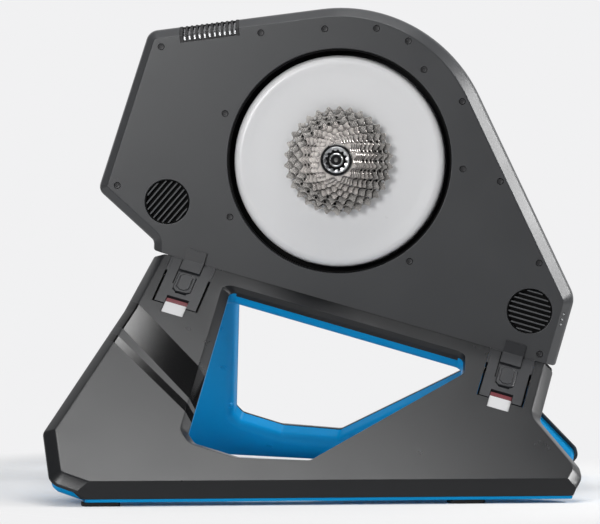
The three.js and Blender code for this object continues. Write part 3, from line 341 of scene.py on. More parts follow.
def fill(bm, loops):
    """A flat face between the first loop and the others, which are holes in it."""
    verts = [vert for loop in loops for vert in loop]
    edges = []
    start = 0
    for loop in loops:
        edges += [(start + i, start + (i + 1) % len(loop)) for i in range(len(loop))]
        start += len(loop)
    flat = [vert.co.xy for vert in verts]
    points, _, faces, origins, _, _ = delaunay_2d_cdt(flat, edges, [], 1, 1e-6)
    rims = [[vert.co.xy for vert in loop] for loop in loops]
    for face in faces:
        x = sum(points[i].x for i in face) / len(face)
        y = sum(points[i].y for i in face) / len(face)
        if inside(x, y, rims[0]) and not any(inside(x, y, rim) for rim in rims[1:]):
            bm.faces.new([verts[origins[i][0]] for i in face])


def rings_between(bm, stack):
    """Bridges a list of (points, z) from first to last, and returns the first and the last ring."""
    rings = [add_ring(bm, points, z) for points, z in stack]
    for low, high in zip(rings, rings[1:]):
        bridge(bm, low, high)
    return rings[0], rings[-1]


def loft(bm, stack):
    """A closed solid through a list of (points, z)."""
    first, last = rings_between(bm, stack)
    bm.faces.new(list(reversed(first)))
    bm.faces.new(last)


def prism(bm, points, low, high):
    loft(bm, [(points, low), (points, high)])


def block(bm, x0, x1, y0, y1, z0, z1):
    prism(bm, [Vector((x0, y0)), Vector((x1, y0)), Vector((x1, y1)), Vector((x0, y1))], z0, z1)


def closed_rings(bm, stack):
    """Bridges a list of (points, z) round to its start, as a ring shaped solid."""
    rings = [add_ring(bm, points, z) for points, z in stack]
    for i, ring in enumerate(rings):
        bridge(bm, ring, rings[(i + 1) % len(rings)])


def turned(bm, profile, segments=96):
    """A turned ring about z, from (radius, z) points in anticlockwise order."""
    closed_rings(bm, [(circle(0, 0, radius, segments), z) for radius, z in profile])


def extruded(bm, section, start, end):
    """A solid along x from a section of (z, y) points."""
    ends = [[bm.verts.new((x, y, z)) for z, y in section] for x in (start, end)]
    for k in range(len(section)):
        m = (k + 1) % len(section)
        bm.faces.new((ends[0][k], ends[1][k], ends[1][m], ends[0][m]))
    bm.faces.new(ends[0])
    bm.faces.new(list(reversed(ends[1])))


def quarter(start, end, corner, steps=4):
    """Points of a round corner from start to end about the corner that it replaces, in (u, v)."""
    points = []
    for i in range(steps + 1):
        t = i / steps
        a = math.cos(t * math.pi / 2)
        b = math.sin(t * math.pi / 2)
        points.append((
            corner[0] + (start[0] - corner[0]) * (1 - b) + (end[0] - corner[0]) * (1 - a),
            corner[1] + (start[1] - corner[1]) * (1 - b) + (end[1] - corner[1]) * (1 - a),
        ))
    return points


# Limits on the shading: what counts as a flat side, and from which angles edges are sharp or rounded
GENTLE_TURN = radians(0.5)
FLAT_TURN = radians(8)
SHARP_TURN = radians(32)
ROUNDED_TURN = radians(35)
SLIVER_AREA = MM ** 2
FLAT_AREA = 90 * MM ** 2
FLAT_ERROR = 0.01 * MM


def curved(face):
    """Whether a face turns gently into a neighbour that is no sliver."""
    for edge in face.edges:
        if len(edge.link_faces) == 2 and GENTLE_TURN < edge.calc_face_angle(0) < FLAT_TURN:
            if min(other.calc_area() for other in edge.link_faces) > SLIVER_AREA:
                return True
    return False


def flat_normals(bm):
    """For each face of a large flat side, by index, that side's normal, slivers included."""
    bm.faces.index_update()
    normals = {}
    large = sorted(bm.faces, key=lambda face: -face.calc_area())
    for start in large:
        if start.calc_area() < FLAT_AREA:
            break
        if start.index in normals or curved(start):
            continue
        normal = start.normal.copy()
        height = normal.dot(start.verts[0].co)
        normals[start.index] = normal
        queue = [start]
        while queue:
            face = queue.pop()
            for vert in face.verts:
                for other in vert.link_faces:
                    if other.index in normals:
                        continue
                    if all(abs(normal.dot(v.co) - height) < FLAT_ERROR for v in other.verts):
                        normals[other.index] = normal
                        queue.append(other)
    return normals


def mark_sharp(bm, flats):
    """Sharp edges at steep angles, and round the large flat sides."""
    for face in bm.faces:
        face.smooth = True
    for edge in bm.edges:
        if len(edge.link_faces) != 2:
            edge.smooth = False
            continue
        angle = edge.calc_face_angle(0)
        sides = [face.index in flats for face in edge.link_faces]
        beside_flat = any(sides) and not all(sides)
        edge.smooth = angle < SHARP_TURN and not (beside_flat and angle > FLAT_TURN)


def turn_outwards(bm):
    bmesh.ops.recalc_face_normals(bm, faces=bm.faces)


def new_object(name, data):
    obj = bpy.data.objects.new(name, data)
    bpy.context.scene.collection.objects.link(obj)
    return obj


def object_of(name, bm, matrix):
    bmesh.ops.remove_doubles(bm, verts=bm.verts, dist=1e-4)
    bmesh.ops.transform(bm, matrix=matrix, verts=bm.verts)
    if matrix.determinant() < 0:
        bmesh.ops.reverse_faces(bm, faces=bm.faces)
    mesh = bpy.data.meshes.new(name)
    bm.to_mesh(mesh)
    bm.free()
    return new_object(name, mesh)


def tool_object(name, bm, matrix):
    obj = object_of(name, bm, matrix)
    fresh = bmesh.new()
    fresh.from_mesh(obj.data)
    turn_outwards(fresh)
    fresh.to_mesh(obj.data)
    fresh.free()
    return obj


def apply_modifiers(obj):
    depsgraph = bpy.context.evaluated_depsgraph_get()
    mesh = bpy.data.meshes.new_from_object(obj.evaluated_get(depsgraph))
    old = obj.data
    obj.modifiers.clear()
    obj.data = mesh
    bpy.data.meshes.remove(old)


def combine(obj, tools, operation="DIFFERENCE"):
    for tool in tools:
        modifier = obj.modifiers.new("cut", "BOOLEAN")
        modifier.operation = operation
        modifier.solver = "EXACT"
        modifier.object = tool
    bpy.context.view_layer.update()
    apply_modifiers(obj)
    for tool in tools:
        bpy.data.objects.remove(tool)


def round_edges(obj, width, flat_sides=False):
    if width:
        bevel = obj.modifiers.new("bevel", "BEVEL")
        bevel.width = width * MM
        bevel.segments = 2
        bevel.limit_method = "ANGLE"
        bevel.angle_limit = ROUNDED_TURN
        bevel.use_clamp_overlap = True
        bevel.miter_outer = "MITER_ARC"
        bevel.harden_normals = False
        bpy.context.view_layer.update()
        apply_modifiers(obj)
    bm = bmesh.new()
    bm.from_mesh(obj.data)
    flats = flat_normals(bm) if flat_sides else {}
    mark_sharp(bm, flats)
    bm.to_mesh(obj.data)
    bm.free()
    if flats:
        loops = [(0, 0, 0)] * len(obj.data.loops)
        for index, normal in flats.items():
            for loop in obj.data.polygons[index].loop_indices:
                loops[loop] = normal
        obj.data.normals_split_custom_set(loops)
    else:
        weighted = obj.modifiers.new("normals", "WEIGHTED_NORMAL")
        weighted.keep_sharp = True
        weighted.weight = 80


def finish_piece(obj, body, material, replaces=(), width=0.4, flat_sides=False):
    """Rounds a piece's edges, and gives it its material, its body and the nodes it replaces."""
    round_edges(obj, width, flat_sides)
    obj.data.materials.clear()
    obj.data.materials.append(material)
    if replaces:
        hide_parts(*replaces)
    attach(obj, body)


def add_piece(name, bm, matrix, body, material, replaces=(), width=0.4):
    """A finished piece from a mesh whose faces are first turned outwards."""
    turn_outwards(bm)
    finish_piece(object_of(name, bm, matrix), body, material, replaces, width=width)


# Materials

def linear(value):
    value /= 255
    return value / 12.92 if value <= 0.04045 else ((value + 0.055) / 1.055) ** 2.4


def srgb(r, g, b):
    return (linear(r), linear(g), linear(b), 1.0)


def set_inputs(tree, node, inputs):
    """Gives each input, by name or number, a value or a link from another node's output."""
    for key, value in dict(inputs).items():
        if isinstance(value, bpy.types.NodeSocket):
            tree.links.new(value, node.inputs[key])
        else:
            node.inputs[key].default_value = value


def add_node(tree, kind, inputs=(), **settings):
    node = tree.nodes.new(f"ShaderNode{kind}")
    for key, value in settings.items():
        setattr(node, key, value)
    set_inputs(tree, node, inputs)
    return node


def calculate(tree, operation, *values):
    """The output of a math node, each of whose inputs is a number or another node's output."""
    return add_node(tree, "Math", enumerate(values), operation=operation).outputs[0]


def ranged(tree, value, low, high, **settings):
    """0 to 1 as the value goes from low to high."""
    inputs = {"Value": value, "From Min": low, "From Max": high}
    return add_node(tree, "MapRange", inputs, **settings).outputs["Result"]


COAT_ROUGHNESS = 0.12
RELIEF_DEPTH = 0.0004


def surface(name, colour, roughness, metallic=0.0, grain=900.0, bump=0.06, variation=0.06, blotch=14.0,
            rough_variation=0.08, coat=0.0, specular=0.5):
    """A moulded, painted or metal surface: a fine grain in its bump, and slow changes of colour and gloss."""
    material = bpy.data.materials.new(name)
    material.use_nodes = True
    tree = material.node_tree
    place = add_node(tree, "TexCoord").outputs["Object"]
    slow = add_node(tree, "TexNoise", {"Vector": place, "Scale": blotch, "Detail": 5}).outputs["Fac"]
    fine = add_node(tree, "TexNoise", {"Vector": place, "Scale": grain, "Detail": 3}).outputs["Fac"]
    dark, light = (
        tuple(min(c * (1 + sign * variation), 1) for c in colour[:3]) + (1,) for sign in (-1, 1)
    )
    tint = add_node(tree, "Mix", {"Factor": slow, "A": dark, "B": light}, data_type="RGBA")
    gloss = add_node(tree, "MapRange", {
        "Value": slow,
        "To Min": max(roughness - rough_variation, 0.02),
        "To Max": min(roughness + rough_variation, 1),
    })
    relief = add_node(tree, "Bump", {"Height": fine, "Strength": bump, "Distance": RELIEF_DEPTH})
    set_inputs(tree, tree.nodes["Principled BSDF"], {
        "Base Color": tint.outputs["Result"],
        "Roughness": gloss.outputs["Result"],
        "Normal": relief.outputs["Normal"],
        "Metallic": metallic,
        "Coat Weight": coat,
        "Coat Roughness": COAT_ROUGHNESS,
        "Specular IOR Level": specular,
    })
    return material


GREY = surface("housing_grey", srgb(62, 63, 65), 0.36, grain=1400, bump=0.05)
LEG_GREY = surface("leg_charcoal", srgb(31, 32, 34), 0.3, grain=1400, bump=0.04)
BLUE = surface("blue_plastic", srgb(0, 142, 204), 0.4, grain=1100, bump=0.04, specular=0.15)
BLACK = surface("trim_black", srgb(24, 24, 26), 0.5, grain=1600, bump=0.08)
BRACKET = surface("bracket_charcoal", srgb(42, 43, 46), 0.36, grain=1500, bump=0.07)
SCREW_GREY = surface("screw_grey", srgb(50, 50, 52), 0.42, metallic=0.2, grain=2500)
WHITE_PAINT = surface(
    "white_paint", srgb(228, 228, 229), 0.3,
    grain=500, bump=0.01, variation=0.01, coat=0.3,
)
WHITE_PLASTIC = surface("white_plastic", srgb(200, 200, 201), 0.4, grain=900, variation=0.02)
RED_PLASTIC = surface("red_plastic", srgb(100, 10, 26), 0.4, grain=900, variation=0.04)
STEEL = surface("machined_steel", srgb(176, 173, 168), 0.3, metallic=1, grain=700)
SPROCKET = surface(
    "sprocket_nickel", srgb(200, 196, 192), 0.26,
    metallic=1, grain=500, blotch=90, variation=0.16,
)
ALUMINIUM = surface("satin_aluminium", srgb(204, 205, 207), 0.28, metallic=1, grain=800)
MAGNET = surface("magnet_coat", srgb(64, 64, 68), 0.4, metallic=0.7)
COPPER = surface("varnished_copper", srgb(172, 92, 52), 0.35, metallic=1, grain=300, bump=0.3)
BOARD = surface("solder_mask", srgb(22, 84, 48), 0.4, grain=200, bump=0.1)
RUBBER = surface("foot_rubber", srgb(26, 26, 27), 0.8, grain=600, bump=0.25)
LIGHT_BAR = surface("status_lens", srgb(150, 152, 154), 0.25, grain=400, variation=0.02)
# Deep black for gaps and recesses: mostly painted shade, and the round grilles' own black
SHADOW = surface("deep_black_painted_shadow", srgb(9, 9, 10), 0.7, grain=900, specular=0.15)
GLOSS_BLACK = surface("anodised_black", srgb(14, 14, 15), 0.22, grain=900, bump=0.02)
NICKEL_MIDDLE = surface(
    "middle_nickel", srgb(224, 217, 212), 0.27,
    metallic=1, grain=500, blotch=90, variation=0.14,
)
NICKEL_LIGHT = surface(
    "bright_nickel", srgb(238, 231, 226), 0.28,
    metallic=1, grain=500, blotch=120, variation=0.12,
)
VENT_GREY = surface("vent_grey", srgb(84, 85, 87), 0.4, grain=1400, bump=0.05)


def shade_crevices(material, reach, strength):
    """Paints shade into a metal's colour where other faces stand close: painted shade between the sprockets.
    """
    tree = material.node_tree
    colour = tree.nodes["Principled BSDF"].inputs["Base Color"]
    source = colour.links[0].from_socket
    near = add_node(tree, "AmbientOcclusion", {"Distance": reach * MM}, samples=8)
    power = calculate(tree, "POWER", near.outputs["AO"], strength)
    inputs = {"Factor": 1, "A": source, "B": power}
    mix = add_node(tree, "Mix", inputs, data_type="RGBA", blend_type="MULTIPLY")
    tree.links.new(mix.outputs["Result"], colour)


def distance_along(tree, direction):
    """Millimetres along a direction of the leg frame, alike on both legs."""
    to_world = leg_frame("drive")
    origin = to_world @ Vector((0, 0, 0))
    axis = (to_world.to_3x3() @ Vector((*direction, 0))) / MM ** 2
    place = add_node(tree, "TexCoord").outputs["Object"]
    x, y, z = add_node(tree, "SeparateXYZ", {0: place}).outputs
    near_side = calculate(tree, "MULTIPLY", calculate(tree, "ABSOLUTE", y), -1)
    folded = add_node(tree, "CombineXYZ", {"X": x, "Y": near_side, "Z": z}).outputs[0]
    shifted = add_node(tree, "VectorMath", {0: folded, 1: origin}, operation="SUBTRACT").outputs[0]
    along = add_node(tree, "VectorMath", {0: shifted, 1: axis}, operation="DOT_PRODUCT")
    return along.outputs["Value"]


def within(tree, value, low, high):
    """1 where the value is between low and high, with soft edges."""
    rise = ranged(tree, value, low - GLOSS_EDGE, low + GLOSS_EDGE)
    fall = ranged(tree, value, high + GLOSS_EDGE, high - GLOSS_EDGE)
    return calculate(tree, "MINIMUM", rise, fall)


def lacquer_bands(material):
    """Gloss black bands across the leg's strut."""
    tree = material.node_tree
    bands = [within(tree, distance_along(tree, direction), low, high) for direction, low, high in GLOSS_BANDS]
    strut = within(tree, distance_along(tree, (1, 0)), 2 * LEG["rear"], GLOSS_END)
    mask = calculate(tree, "MULTIPLY", calculate(tree, "MAXIMUM", *bands), strut)
    for socket, kind, value in (("Base Color", "RGBA", srgb(9, 9, 10)), ("Roughness", "FLOAT", 0.085)):
        target = tree.nodes["Principled BSDF"].inputs[socket]
        source = target.links[0].from_socket
        mix = add_node(tree, "Mix", {"Factor": mask, "A": source, "B": value}, data_type=kind)
        tree.links.new(mix.outputs["Result"], target)


# Painted shade in the sprockets' colours, darker where other faces stand close
shade_crevices(SPROCKET, 6, 2.6)
shade_crevices(NICKEL_MIDDLE, 5, 2.2)
shade_crevices(NICKEL_LIGHT, 4, 1.6)
lacquer_bands(LEG_GREY)

SLOT_MATERIALS = {
    "housing": GREY,
    "leg_shell": LEG_GREY,
    "blue_shell": BLUE,
    "black_trim": BLACK,
    "bracket_black": BRACKET,
    "white_tab": WHITE_PLASTIC,
    "white_paint": WHITE_PAINT,
    "magnet": MAGNET,
    "copper_winding": COPPER,
    "circuit_board": BOARD,
    "steel": STEEL,
    "sprocket_steel": SPROCKET,
    "aluminium": ALUMINIUM,
    "foot_rubber": RUBBER,
}


def dress_frame():
    for part in frame["record"]["subparts"]:
        mesh = NODES[part["node"]].data
        mesh.materials.clear()
        mesh.materials.append(SLOT_MATERIALS[part["material_slot"]])


# The camera

CAMERA = {"place": (0.238, -3.570, 0.308), "yaw": -4.47, "pitch": -0.84, "roll": 0.99, "lens": 184.8}


def add_camera():
    yaw, pitch, roll = (radians(CAMERA[key]) for key in ("yaw", "pitch", "roll"))
    forward = Vector((math.sin(yaw) * math.cos(pitch), math.cos(yaw) * math.cos(pitch), math.sin(pitch)))
    level = Vector((math.cos(yaw), -math.sin(yaw), 0))
    over = level.cross(forward)
    right = math.cos(roll) * level + math.sin(roll) * over
    up = math.cos(roll) * over - math.sin(roll) * level
    data = bpy.data.cameras.new("camera")
    data.lens = CAMERA["lens"]
    data.sensor_width = 36
    data.clip_end = 50
    camera = new_object("camera", data)
    rotation = Matrix((right, up, -forward)).transposed().to_4x4()
    camera.matrix_world = Matrix.Translation(CAMERA["place"]) @ rotation
    bpy.context.scene.camera = camera


# The housing

def shell_profile(wall):
    """(z, inset, chamfer share) from a shell's back to its face, with rounded shoulders."""
    back = BAND["width"] / 2 + BAND["gap"]
    shoulder = HALF - BODY["chamfer_depth"]
    slope = math.atan2(BODY["chamfer_width"], BODY["chamfer_depth"])
    length = math.hypot(BODY["chamfer_width"], BODY["chamfer_depth"])
    along = lambda t: (shoulder + t * math.cos(slope), t * math.sin(slope) / BODY["chamfer_width"])
    r = BODY["shoulder_round"]
    e = BODY["face_round"]
    start = quarter((shoulder - r, 0), along(r), (shoulder, 0), 5)
    end = quarter(along(length - e), (HALF, 1 + e / BODY["chamfer_width"]), (HALF, 1), 5)
    profile = [(back, wall, 0)] + [(z, wall, share) for z, share in start + end]
    return profile


def housing_holes(side):
    """Round holes of a shell's face as (x, y, radius, lip)."""
    vent_radius = VENT["radius"] + SEAT_GAP
    holes = [(vent["x"], vent["y"], vent_radius, VENT["lip"]) for vent in (REAR_VENT, FRONT_VENT)]
    if side == "drive":
        holes.append((0, 0, WELL["radius"], WELL["lip"]))
    else:
        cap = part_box("axle_end_cap_non_drive")
        holes.append((0, 0, (cap[1].x - cap[0].x) / 2 / MM + SEAT_GAP, SCREW["lip"]))
        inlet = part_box("power_inlet")
        centre = SIDE.inverted() @ ((inlet[0] + inlet[1]) / 2)
        radius = (inlet[1].x - inlet[0].x) / 2 / MM + 2 * SEAT_GAP
        holes.append((centre.x, centre.y, radius, SCREW["lip"]))
    holes += [(x, y, SCREW["hole"], SCREW["lip"]) for x, y in FACE_SCREWS]
    return holes


def hole_count(radius):
    return 160 if radius > 60 else 64 if radius > 20 else 24


def top_vent_cut(half):
    """The room that the top vent's grille needs, as a tool, from -half to half across the trainer."""
    low = BODY["crown"] - BODY["chamfer_width"] - TOP_VENT["face_drop"] - SEAT_GAP
    rear, front = TOP_VENT["rear"] - SEAT_GAP, TOP_VENT["front"] + SEAT_GAP
    cutter = bmesh.new()
    block(cutter, rear, front, low, BODY["crown"] + OVERRUN, -half, half)
    return tool_object("vent_cut", cutter, TOP)


def build_housing(side):
    bm = bmesh.new()
    wall = BODY["wall"]
    outer = [(outline(BODY_EDGES, 0, share * BODY["chamfer_width"]), z) for z, _, share in shell_profile(0)]
    back_ring, face_ring = rings_between(bm, outer)
    inner_face = HALF - wall
    shoulder = HALF - BODY["chamfer_depth"]
    inner = [
        (outline(BODY_EDGES, wall, BODY["chamfer_width"]), inner_face),
        (outline(BODY_EDGES, wall), shoulder - wall / 2),
        (outline(BODY_EDGES, wall), BAND["width"] / 2 + BAND["gap"]),
    ]
    inner_ring, inner_back = rings_between(bm, inner)
    bridge(bm, inner_back, back_ring)
    face_loops = [face_ring]
    inner_loops = [inner_ring]
    for x, y, radius, lip in housing_holes(side):
        count = hole_count(radius)
        rounded = quarter((radius + lip, HALF), (radius, HALF - lip), (radius, HALF))
        is_well = radius == WELL["radius"]
        is_blind = radius == SCREW["hole"]
        end = HALF - WELL["depth"] if is_well else HALF - SCREW["depth"] if is_blind else inner_face
        stack = [(circle(x, y, r, count), z) for r, z in rounded] + [(circle(x, y, radius, count), end)]
        if is_well:
            outside = radius + WELL["wall"]
            stack += [(circle(x, y, outside, count), end), (circle(x, y, outside, count), inner_face)]
        first, last = rings_between(bm, stack)
        face_loops.append(first)
        if is_blind:
            bm.faces.new(last)
        else:
            inner_loops.append(last)
    fill(bm, face_loops)
    fill(bm, inner_loops)
    turn_outwards(bm)
    shell = object_of(f"shell_{side}", bm, side_frame(side))
    combine(shell, [top_vent_cut(HALF + OVERRUN)])
    finish_piece(shell, "chassis", GREY, [f"housing_{side}_side"], width=0)


def build_band():
    bm = bmesh.new()
    half = BAND["width"] / 2
    outside = outline(BODY_EDGES, BAND["recess"])
    inside = outline(BODY_EDGES, BAND["recess"] + BAND["wall"])
    closed_rings(bm, [(outside, -half), (outside, half), (inside, half), (inside, -half)])
    turn_outwards(bm)
    band = object_of("centre_band", bm, SIDE)
    combine(band, [top_vent_cut(BAND["width"])])
    finish_piece(band, "chassis", BLACK, ["edge_band"], width=0.3)


def build_screw(name, matrix, body, radius=None, material=SCREW_GREY):
    """A countersunk screw head with a hexagon socket, facing +z at the origin of its matrix."""
    radius = radius or SCREW["radius"]
    bm = bmesh.new()
    deep = SCREW["thickness"]
    share = SCREW_SHARES
    socket = radius * share["socket"]
    floor = -deep * share["depth"]
    flats = []
    for point in circle(0, 0, socket, 24):
        angle = math.atan2(point.y, point.x)
        reach = socket * math.cos(math.pi / 6) / math.cos(math.remainder(angle, math.pi / 3))
        flats.append(polar(reach, angle))
    loft(bm, [
        (circle(0, 0, radius, 24), -deep),
        (circle(0, 0, radius, 24), -radius * share["edge"]),
        (circle(0, 0, radius * share["crown"], 24), 0),
        (circle(0, 0, radius * share["mouth"], 24), 0),
        (flats, -radius * share["mouth_drop"]),
        (flats, floor),
    ])
    add_piece(name, bm, matrix, body, material, width=0)


def build_face_screws():
    for side in SIDES:
        for i, (x, y) in enumerate(FACE_SCREWS):
            matrix = side_frame(side) @ Matrix.Translation((x, y, HALF - SCREW["sunk"]))
            matrix = matrix @ Matrix.Rotation(i * 0.9, 4, "Z")
            build_screw(f"housing_screw_{side}_{i + 1}", matrix, "chassis")


def build_well_shadow_wall():
    """A deep black sleeve and floor in the gap round the rotor: painted shade that keeps the gap dark."""
    bm = bmesh.new()
    outer = WELL["radius"] - SEAT_GAP
    inner = outer - WELL["shadow_wall"]
    low, top = WELL["floor"], HALF - WELL["lip"]
    mouth = ROTOR["radius"] + WELL["rotor_gap"]
    floor = low + WELL["floor_wall"]
    turned(bm, [(mouth, low), (outer, low), (outer, top), (inner, top), (inner, floor), (mouth, floor)], 160)
    add_piece("well_shadow_wall", bm, SIDE, "chassis", SHADOW, width=0)


def build_light_marks():
    """Three small light bars on the front bevel of the drive side shell."""
    angle = -radians(BODY["seam_slope"])
    outward = Vector((math.cos(angle), math.sin(angle), 0))
    along = Vector((-math.sin(angle), math.cos(angle), 0))
    normal = (outward * BODY["chamfer_depth"] + Vector((0, 0, 1)) * BODY["chamfer_width"]).normalized()
    across_bevel = along.cross(normal)
    turn = Matrix((across_bevel, along, normal)).transposed().to_4x4()
    for i, (x, y) in enumerate(LIGHT_MARKS):
        reach = x * outward.x + y * outward.y
        inset = BODY["toe_reach"] - reach
        z = HALF - BODY["chamfer_depth"] * (1 - inset / BODY["chamfer_width"])
        matrix = SIDE @ Matrix.Translation((x, y, z)) @ turn
        parts = (("base", MARK_BASE, GLOSS_BLACK, 0.1), ("lens", MARK_LENS, LIGHT_BAR, 0.2))
        for kind, (half_x, half_y, low, high), material, width in parts:
            bm = bmesh.new()
            block(bm, -half_x, half_x, -half_y, half_y, low, high)
            add_piece(f"mark_{kind}_{i + 1}", bm, matrix, "chassis", material, width=width)


def build_round_vent(name, vent, side):
    """A round grille: a rim, and slats across it that stand a little below the shell's face. The rim and the
    disc behind the slats are deep black: the rim's own black, and painted shade for the dark inside of the
    vent.
    """
    bm = bmesh.new()
    front = HALF - VENT["sunk"]
    back = front - VENT["depth"]
    outer, inner = VENT["radius"], VENT["radius"] - VENT["rim"]
    profile = [(inner, back), (outer, back), (outer, front - 0.5), (outer - 0.5, front), (inner + 0.4, front),
               (inner, front - 0.4)]
    turned(bm, profile, 64)
    # A deep black disc behind the slats: painted shade for the vent's dark inside
    prism(bm, circle(0, 0, inner + 0.4, 64), back - 0.6, back)
    matrix = side_frame(side) @ Matrix.Translation((vent["x"], vent["y"], 0))
    matrix = matrix @ Matrix.Rotation(radians(vent["slant"]), 4, "Z")
    add_piece(
        f"grille_{name}_{side}", bm, matrix, "chassis", SHADOW,
        [f"vent_grille_{name}_{side}"], width=0,
    )

    bm = bmesh.new()
    count = int(2 * inner / VENT["pitch"])
    for i in range(count + 1):
        offset = (i - count / 2) * VENT["pitch"]
        half = VENT["slat"] / 2
        if abs(offset) + half > inner:
            continue
        reach = math.sqrt(inner ** 2 - offset ** 2) - 0.1
        extruded(bm, [
            (back + 0.2, offset - half), (back + 0.2, offset + half),
            (front - 1.0, offset + half), (front - 0.5, offset + half * 0.5),
            (front - 0.5, offset - half * 0.5), (front - 1.0, offset - half),
        ], -reach, reach)
    add_piece(f"slats_{name}_{side}", bm, matrix, "chassis", VENT_GREY, width=0)


# The rotor

def build_rotor():
    bm = bmesh.new()
    r, face, e = ROTOR["radius"], ROTOR["face"], ROTOR["rounding"]
    inner = r - ROTOR["rim_wall"]
    rim = [(r - e + e * math.cos(a), face - e + e * math.sin(a)) for a in
           (math.pi / 2 * i / 12 for i in range(13))]
    back = face - ROTOR["web"]
    sleeve_low, sleeve_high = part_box("rotor_bearing_outer")
    bore = (sleeve_high.x - sleeve_low.x) / 2 / MM + SEAT_GAP
    profile = [
        (bore, ROTOR["hub_back"]), (ROTOR["hub"], ROTOR["hub_back"]), (ROTOR["hub"], back - 3),
        (ROTOR["hub"] + 2, back - 1), (inner - 8, back - 1), (inner - 2, back - 3),
        (inner, back - 9), (inner, ROTOR["rim_back"]), (r, ROTOR["rim_back"]),
    ]
    profile += rim
    dish = face - ROTOR["dish"]
    profile += [(r - e - 3, face - 0.1), (r - e - 8, face - 0.45), (r - e - 15, dish)]
    profile += [(ROTOR["dish_start"], dish), (bore, dish)]
    turned(bm, profile, 192)
    add_piece("flywheel_bell", bm, SIDE, "rotor", WHITE_PAINT, ["rotor_bell"], width=0)


# The cassette

def pitch_radius(teeth):
    return CASSETTE["pitch"] / (2 * math.sin(math.pi / teeth))


def tooth_outline(teeth, grow=0.0):
    """The outline of a sprocket: a roller seat between teeth, and worn, slightly blunt tips."""
    step = 2 * math.pi / teeth
    radius = pitch_radius(teeth)
    seat = CASSETTE["roller"] + grow
    tip = radius + CASSETTE["tip"] - grow
    points = []
    for tooth in range(teeth):
        middle = step * tooth
        for i in range(7):
            swing = radians(-58 + 116 * i / 6)
            x = radius + CASSETTE["seat_rise"] - seat * math.cos(swing)
            y = seat * math.sin(swing)
            points.append(turn2(x, y, middle))
        for share in (0.37, 0.44, 0.56, 0.63):
            height = tip - (CASSETTE["blunt"] if share in (0.37, 0.63) else 0)
            angle = middle + step * share
            points.append(polar(height, angle))
    return points


def turn2(x, y, angle):
    return Vector((x * math.cos(angle) - y * math.sin(angle), x * math.sin(angle) + y * math.cos(angle)))


def build_sprocket_plate(bm, teeth, centre, bore, holes=0, hole_radius=0.0, hole_ring=0.0):
    half = CASSETTE["plate"] / 2
    body = tooth_outline(teeth)
    slim = tooth_outline(teeth, CASSETTE["slim"])
    low, high, depth = centre - half, centre + half, CASSETTE["slim_depth"]
    back, front = rings_between(bm, [(slim, low), (body, low + depth), (body, high - depth), (slim, high)])
    count = 96 if bore > 25 else 48
    e = CASSETTE["bore_round"]
    rims = [(bore + e, low), (bore, low + e), (bore, high - e), (bore + e, high)]
    hole_back, hole_front = rings_between(bm, [(circle(0, 0, radius, count), z) for radius, z in rims])
    backs, fronts = [back, hole_back], [front, hole_front]
    for i in range(holes):
        angle = 2 * math.pi * i / holes
        x, y = hole_ring * math.cos(angle), hole_ring * math.sin(angle)
        small_back, small_front = rings_between(bm, [(circle(x, y, hole_radius, 16), z) for z in (low, high)])
        backs.append(small_back)
        fronts.append(small_front)
    fill(bm, backs)
    fill(bm, fronts)


def plane_of(teeth):
    return CASSETTE["large_plane"] + CASSETTE["spacing"] * TEETH.index(teeth)


def cluster_hub(bm, low, high, radius):
    bore = CASSETTE["bore"]
    e = HUB_ROUND
    turned(bm, [(bore, low), (radius, low), (radius, high - e), (radius - e, high), (bore, high)], 64)


def build_cassette():
    half = CASSETTE["plate"] / 2
    large = bmesh.new()
    for teeth in TEETH[:LARGE]:
        bore = min(pitch_radius(teeth) - CASSETTE["roller"] - 11, LARGE_CLUSTER["bore"])
        ring = pitch_radius(teeth) - LARGE_CLUSTER["hole_inset"]
        build_sprocket_plate(large, teeth, plane_of(teeth), bore, teeth, LARGE_CLUSTER["hole"], ring)
    back = plane_of(TEETH[0]) - half
    front = plane_of(TEETH[LARGE - 1]) + half
    _, node_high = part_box("sprockets_30_27_24")
    hub_back = -node_high.y / MM
    cluster_hub(large, hub_back, front, LARGE_CLUSTER["hub"])
    for i in range(SPIDER_ARMS):
        angle = 2 * math.pi * (i + 0.25) / SPIDER_ARMS
        prism(large, [turn2(x, y, angle) for x, y in SPIDER_ARM], back + 0.2, front - 0.2)
    add_piece(
        "cluster_large", large, SIDE, "cassette", SPROCKET, ["sprockets_30_27_24"], width=0,
    )

    middle = bmesh.new()
    for teeth in TEETH[LARGE:LARGE + MIDDLE]:
        bore, hole = MIDDLE_CLUSTER["bore"], MIDDLE_CLUSTER["hole"]
        ring = pitch_radius(teeth) - MIDDLE_CLUSTER["hole_inset"]
        build_sprocket_plate(middle, teeth, plane_of(teeth), bore, teeth, hole, ring)
    back = plane_of(TEETH[LARGE - 1]) + half + SEAT_GAP
    front = plane_of(TEETH[LARGE + MIDDLE - 1]) + half
    cluster_hub(middle, back, front, MIDDLE_CLUSTER["hub"])
    add_piece(
        "cluster_middle", middle, SIDE, "cassette", NICKEL_MIDDLE,
        ["sprockets_21_19_17"], width=0,
    )

    behind = front
    for teeth in TEETH[LARGE + MIDDLE:]:
        bm = bmesh.new()
        build_sprocket_plate(bm, teeth, plane_of(teeth), CASSETTE["bore"])
        bore, outer = CASSETTE["bore"], CASSETTE["spacer"]
        low, high = behind + SEAT_GAP, plane_of(teeth) - half + 0.1
        turned(bm, [(bore, low), (outer, low), (outer, high), (bore, high)], 48)
        add_piece(
            f"small_sprocket_{teeth}", bm, SIDE, "cassette", NICKEL_LIGHT,
            [f"sprocket_{teeth}"], width=0,
        )
        behind = plane_of(teeth) + half

    build_lockring(behind + SEAT_GAP)
    build_end_cap()


